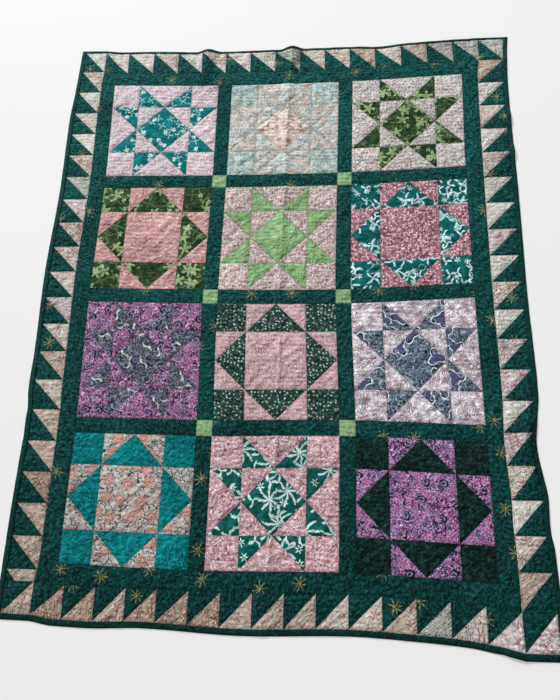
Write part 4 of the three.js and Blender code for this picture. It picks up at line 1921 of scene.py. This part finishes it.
@dataclass
class Throw:
    """The whole throw, built panel by panel from the middle outwards."""

    shop: Workshop

    def build(self) -> list[bpy.types.Object]:
        """Builds every panel.

        Returns:
            The finished pieces.
        """
        middle = [*self._blocks(), *self._sashing()]
        edges = [*self._inner_border(), *self._sawtooth(), *self._binding()]
        return [panel.build(self.shop) for panel in [*middle, *edges]]

    def _blocks(self) -> list[Panel]:
        """The twelve pieced blocks."""
        layout = self.shop.layout
        return [PiecedBlock.at(layout, *place, *made) for place, made in BLOCKS.items()]

    @staticmethod
    def _strip(node: str, cuts_u: Sequence[float], cuts_v: Sequence[float], cotton: Cotton) -> Panel:
        """A plain panel between the cuts given."""
        return Panel(node, divide(cuts_u, Panel.CELL), divide(cuts_v, Panel.CELL), [cotton])

    def _sashing(self) -> list[Panel]:
        """The strips between the blocks and their corner squares.

        Returns:
            The panels, row by row from the top.
        """
        layout = self.shop.layout
        pitch = layout.block + layout.sash
        panels = []
        for row in range(1, layout.rows + 1):
            high = layout.grid[1] - (row - 1) * pitch
            low = high - layout.block
            below = (low - layout.sash, low)
            for column in range(1, layout.columns + 1):
                u0 = -layout.grid[0] + (column - 1) * pitch
                block, gap = (u0, u0 + layout.block), (u0 + layout.block, u0 + pitch)
                place = f"r{row}_c{column}"
                if column < layout.columns:
                    panels.append(self._strip(f"sash_upright_{place}", gap, (low, high), STRIP_COTTON))
                if row < layout.rows:
                    panels.append(self._strip(f"sash_cross_{place}", block, below, STRIP_COTTON))
                if column < layout.columns and row < layout.rows:
                    panels.append(self._strip(f"corner_square_{place}", gap, below, CORNER_COTTON))
        return panels

    def _inner_border(self) -> list[Panel]:
        """The plain border inside the teeth.

        Returns:
            Its four strips.
        """
        grid, border = self.shop.layout.grid, self.shop.layout.border
        panels = []
        for side in Side:
            limit, reach = (grid[1], border[1]) if side.across else (grid[0], border[0])
            band = sorted((side.sign * limit, side.sign * reach))
            run = (-border[0], border[0]) if side.across else (-grid[1], grid[1])
            cuts = (run, band) if side.across else (band, run)
            panels.append(self._strip(f"inner_border_{side.value}", *cuts, STRIP_COTTON))
        return panels

    def _tooth_cuts(self, side: Side) -> list[float]:
        """Where a side's teeth meet between the corner squares.

        Args:
            side: the side.

        Returns:
            The places along it, from its low end.
        """
        reach = self.shop.layout.border[0 if side.across else 1]
        row = TEETH[side]
        pitch = 2 * reach / (row.whole + row.part)
        first = [-reach] if row.part else []
        return [*first, *(reach - (row.whole - n) * pitch for n in range(row.whole + 1))]

    def _sawtooth(self) -> list[Panel]:
        """The sawtooth border.

        Returns:
            Its four strips of half-square triangles.
        """
        border, teeth = self.shop.layout.border, self.shop.layout.teeth
        panels = []
        cells = round(self.shop.layout.tooth_depth / Panel.CELL)
        for side in Side:
            cuts = self._tooth_cuts(side)
            if side.across:
                cuts = [-teeth[0], *cuts, teeth[0]]
            inner, outer = (border[1], teeth[1]) if side.across else (border[0], teeth[0])
            low, high = sorted((side.sign * inner, side.sign * outer))
            over = np.linspace(low, high, cells + 1)
            part = TEETH[side].part
            spans = [cells] * (len(cuts) - 1)
            if part:
                spans[0] = round(cells * part)
            runs = [np.linspace(a, b, n, endpoint=False) for a, b, n in zip(cuts, cuts[1:], spans)]
            along = np.concatenate([*runs, cuts[-1:]])
            us, vs = (along, over) if side.across else (over, along)
            cottons = [STRIP_COTTON, *TOOTH_COTTONS.values()]
            node = f"sawtooth_{side.value}"
            panel = SawtoothStrip(node, us, vs, cottons, side=side, cuts=cuts, lights=TEETH[side].lights)
            panel.seams = self._tooth_seams(panel, cuts, (low, high))
            panels.append(panel)
        return panels

    @staticmethod
    def _tooth_seams(
        panel: SawtoothStrip, cuts: list[float], band: tuple[float, float]
    ) -> list[Segment]:
        """The seams between and across a strip's teeth.

        Args:
            panel: the strip.
            cuts: where its teeth meet.
            band: its inner and outer seams, the lower first.

        Returns:
            One seam for each tooth's side and diagonal.
        """
        low, high = band
        seams = []
        for a, b in zip(cuts, cuts[1:]):
            if panel.side.across:
                seams.append(Segment((a, low), (a, high)))
                ends = ((a, low), (b, high)) if panel.slash is Slash.RISING else ((a, high), (b, low))
            else:
                seams.append(Segment((low, a), (high, a)))
                across = low + min(b - a, high - low)
                ends = ((low, a), (high, b)) if panel.slash is Slash.RISING else ((low, b), (across, a))
            seams.append(Segment(*ends))
        return seams

    def _binding(self) -> list[Panel]:
        """The binding round the raw edge.

        Returns:
            Its four strips.
        """
        layout = self.shop.layout
        panels = []
        for side in Side:
            inner = layout.teeth[1 if side.across else 0]
            end = layout.teeth[0 if side.across else 1]
            over = np.linspace(inner, layout.edge(side), BindingStrip.ROLL_CELLS + 1)
            over = over if side.sign > 0 else -over[::-1]
            along = divide((-end, end), Panel.CELL)
            us, vs = (along, over) if side.across else (over, along)
            lower, upper = (Side.LEFT, Side.RIGHT) if side.across else (Side.BOTTOM, Side.TOP)
            ends = (layout.binding[lower], layout.binding[upper])
            node = f"binding_{side.value}"
            panels.append(BindingStrip(node, us, vs, [BINDING_COTTON], side=side, ends=ends))
        return panels


@dataclass(frozen=True)
class Studio:
    """The pale floor, the soft light and the camera at the photograph's angle."""

    floor_size: float = 14.0
    focal_pixels: float = 624.7
    frame_pixels: float = 700.0
    sensor: float = 36.0
    # The camera's place over the middle of the block grid, in metres, and its turn from
    # looking straight down, as an axis times an angle.
    camera_place: tuple[float, float, float] = (0.1366, -0.6160, 1.4910)
    camera_turn: tuple[float, float, float] = (0.3057, 0.0812, 0.0130)
    # The photograph's floor is evenly pale, so nearly half of its brightness is its own.
    floor_colour: str = "#bcbcbc"
    floor_glow: float = 0.41
    # The lamps' strengths, the far lamp's in watts, and where they hang, in metres.
    room_light: float = 0.2
    side_light: float = 3.2
    side_spread: float = 9.0
    side_place: tuple[float, float, float] = (-0.66, 0.72, 0.6)
    far_light: float = 29.0
    far_size: float = 1.2
    far_place: tuple[float, float, float] = (-0.9, 2.4, 1.9)

    def floor(self) -> None:
        """A plain pale floor."""
        bpy.ops.object.select_all(action="DESELECT")
        bpy.ops.mesh.primitive_plane_add(size=self.floor_size, location=(0, 0, 0))
        floor = bpy.context.active_object
        floor.name = "studio_floor"
        material = bpy.data.materials.new("painted_pale_floor")
        material.use_nodes = True
        shader = material.node_tree.nodes["Principled BSDF"]
        look = {
            "Base Color": linear(self.floor_colour),
            "Emission Color": linear("#ffffff"),
            "Emission Strength": self.floor_glow,
            "Roughness": 0.9,
            "Specular IOR Level": 0.0,
        }
        for name, value in look.items():
            shader.inputs[name].default_value = value
        floor.data.materials.append(material)

    def light(self) -> None:
        """Soft surroundings, a sun lamp from the upper left and a broad lamp beyond the far end."""
        scene = bpy.context.scene
        scene.view_settings.view_transform = "Standard"
        world = bpy.data.worlds.new("soft_studio")
        world.use_nodes = True
        sky = world.node_tree.nodes["Background"].inputs
        sky["Color"].default_value = linear("#ffffff")
        sky["Strength"].default_value = self.room_light
        scene.world = world
        side = bpy.data.lights.new("side_lamp", "SUN")
        side.energy = self.side_light
        side.angle = math.radians(self.side_spread)
        self._hang(side, Vector(self.side_place))
        far = bpy.data.lights.new("far_lamp", "AREA")
        far.size = self.far_size
        far.energy = self.far_light
        self._hang(far, Vector(self.far_place))

    @staticmethod
    def _hang(lamp: bpy.types.Light, place: Vector) -> None:
        """Hangs a lamp at a place, facing the middle of the throw.

        Args:
            lamp: the lamp.
            place: where it hangs, in metres.
        """
        holder = bpy.data.objects.new(lamp.name, lamp)
        holder.location = place
        holder.rotation_euler = place.to_track_quat("Z", "Y").to_euler()
        bpy.context.scene.collection.objects.link(holder)

    def camera(self, origin: tuple[float, float]) -> None:
        """Places the camera.

        Args:
            origin: the model's origin, in millimetres from the middle of the block grid.
        """
        lens = bpy.data.cameras.new("photo_camera")
        lens.sensor_width = self.sensor
        lens.lens = self.focal_pixels / self.frame_pixels * self.sensor
        lens.clip_end = 50
        holder = bpy.data.objects.new("photo_camera", lens)
        turn = Vector(self.camera_turn)
        holder.rotation_euler = Matrix.Rotation(turn.length, 3, turn.normalized()).to_euler()
        x, y, z = self.camera_place
        holder.location = (x - origin[0] * MM, y - origin[1] * MM, z)
        bpy.context.scene.collection.objects.link(holder)
        bpy.context.scene.camera = holder


def main() -> None:
    """Builds the studio and the throw."""
    logging.basicConfig(level=logging.INFO, format="%(message)s")
    shop = Workshop()
    studio = Studio()
    studio.camera(shop.origin)
    pieces = Throw(shop).build()
    LOG.info("%d pieces, origin at %.2f, %.2f mm", len(pieces), *shop.origin)
    studio.floor()
    studio.light()


if __name__ == "__main__":
    main()
